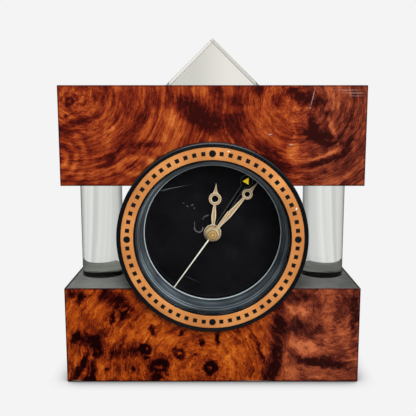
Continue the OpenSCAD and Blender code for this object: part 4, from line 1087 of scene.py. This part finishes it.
def build_bezel():
    """Black bezel: rounded lip with a bead, recess for the ring, stepped wall, glossy cone and rim."""
    front = near_face("bezel")
    outer = half_width("bezel")
    ring_outer, ring_face = half_width("chapter_ring"), near_face("chapter_ring")
    ring_floor, ring_inner = far_face("chapter_ring"), reach("chapter_ring", min)
    lens_outer, seat = half_width("lens"), far_face("lens")
    dial = near_face("dial")
    rim_r, rim_z = ring_inner - 4, dial + 3.2
    wall = lens_outer - 0.5
    flange_back = front - 6.7
    lip = ring_outer + 0.05
    bead, rim_round = 1.15, 0.5
    outline = [(outer, flange_back), (outer, front - 3.0)]
    outline += [(outer - 0.25, front - 2.75), (outer - 0.05, front - 2.45)]
    outline += arc(outer - bead, front - bead, bead, 0, 80)
    outline += [(lip + 0.75, front - 0.22), (lip + 0.55, front), (lip + 0.05, front), (lip, front - 0.1)]
    outline += [(lip, ring_floor), (ring_inner - 0.05, ring_floor), (ring_inner - 0.05, ring_face - 0.35)]
    outline += [(lens_outer + 0.1, ring_face - 0.45), (lens_outer + 0.1, seat), (wall, seat)]
    # Three fine steps, then the smooth cone.
    step_z = [seat - 1.6, seat - 3.1, seat - 4.6]
    step_r = [wall - 0.2, wall - 0.55, wall - 0.9]
    outline += [(wall - 0.02, seat - 0.2)]
    for z, r in zip(step_z, step_r):
        outline += [(r + 0.12, z + 0.18), (r + 0.02, z + 0.05), (r - 0.12, z - 0.02), (r - 0.14, z - 0.2)]
    last_r, last_z = step_r[-1] - 0.14, step_z[-1] - 0.2
    for t in (0.2, 0.4, 0.6, 0.8, 0.93):
        bow = 0.35 * math.sin(math.pi * t)
        outline.append((last_r + (rim_r + rim_round - last_r) * t + bow, last_z + (rim_z + 0.6 - last_z) * t))
    outline += arc(rim_r + rim_round, rim_z, rim_round, 80, 200, 8)
    outline += [(rim_r + 0.2, rim_z - 0.9), (rim_r + 1.25, rim_z - 1.2), (rim_r + 1.25, dial)]
    outline += [(rim_r + 3.4, dial), (rim_r + 3.4, rim_z)]
    outline += [(ring_inner + 1.2, flange_back - 1), (outer - 4.8, flange_back - 1)]
    outline += [(outer - 4.8, flange_back - 4), (outer - 2.6, flange_back - 4), (outer - 2.6, flange_back)]
    return turned("dish_bezel", outline, "root", FINISH["dish_plastic"], ["bezel"])


def build_ring():
    """Chapter ring with eased edges."""
    node = "chapter_ring"
    outer, inner = half_width(node), reach(node, min)
    low, face = far_face(node), near_face(node)
    outline = [(outer, low)] + arc(outer - 0.12, face - 0.12, 0.12, 0, 90, 3)
    outline += arc(inner + 0.12, face - 0.12, 0.12, 90, 180, 3) + [(inner, low)]
    return turned("foil_ring", outline, "root", FINISH["copper_foil"], [node])


def build_cap():
    """Turned brass cap over the second hand: a domed disc with a raised button."""
    node = "second_hand_cap"
    radius, face = half_width(node), near_face(node)
    low = far_face(node)
    outline = [(0.8, low), (radius - 0.1, low), (radius, low + 0.15)]
    outline += arc(radius - 0.35, face - 0.6, 0.35, 0, 80, 5)
    outline += [(1.65, face - 0.2), (1.5, face - 0.12), (1.35, face), (0.3, face), (0, face - 0.03)]
    outline += [(0, low + 0.5), (0.8, low + 0.5)]
    return turned("second_cap", outline, "second", FINISH["hub_brass"], [node], 96)


build_bezel()
build_ring()
lance_hand("hour_lance", "hour_hand", "hour", 8.1, 3.3, 1.75, 0.78, 1.22, 4.6)
lance_hand("minute_lance", "minute_hand", "minute", 7.7, 2.75, 1.4, 0.78, 1.36, 4.2)
sweep_hand()
build_cap()
# The alarm hand's eased edges are painted grey, a painted highlight along them.
eased("alarm_hand_edge_highlight", "alarm_hand", "alarm",
      [FINISH["black_enamel"], FINISH["painted_highlight_enamel"]], 0.15, edge_finish=1)
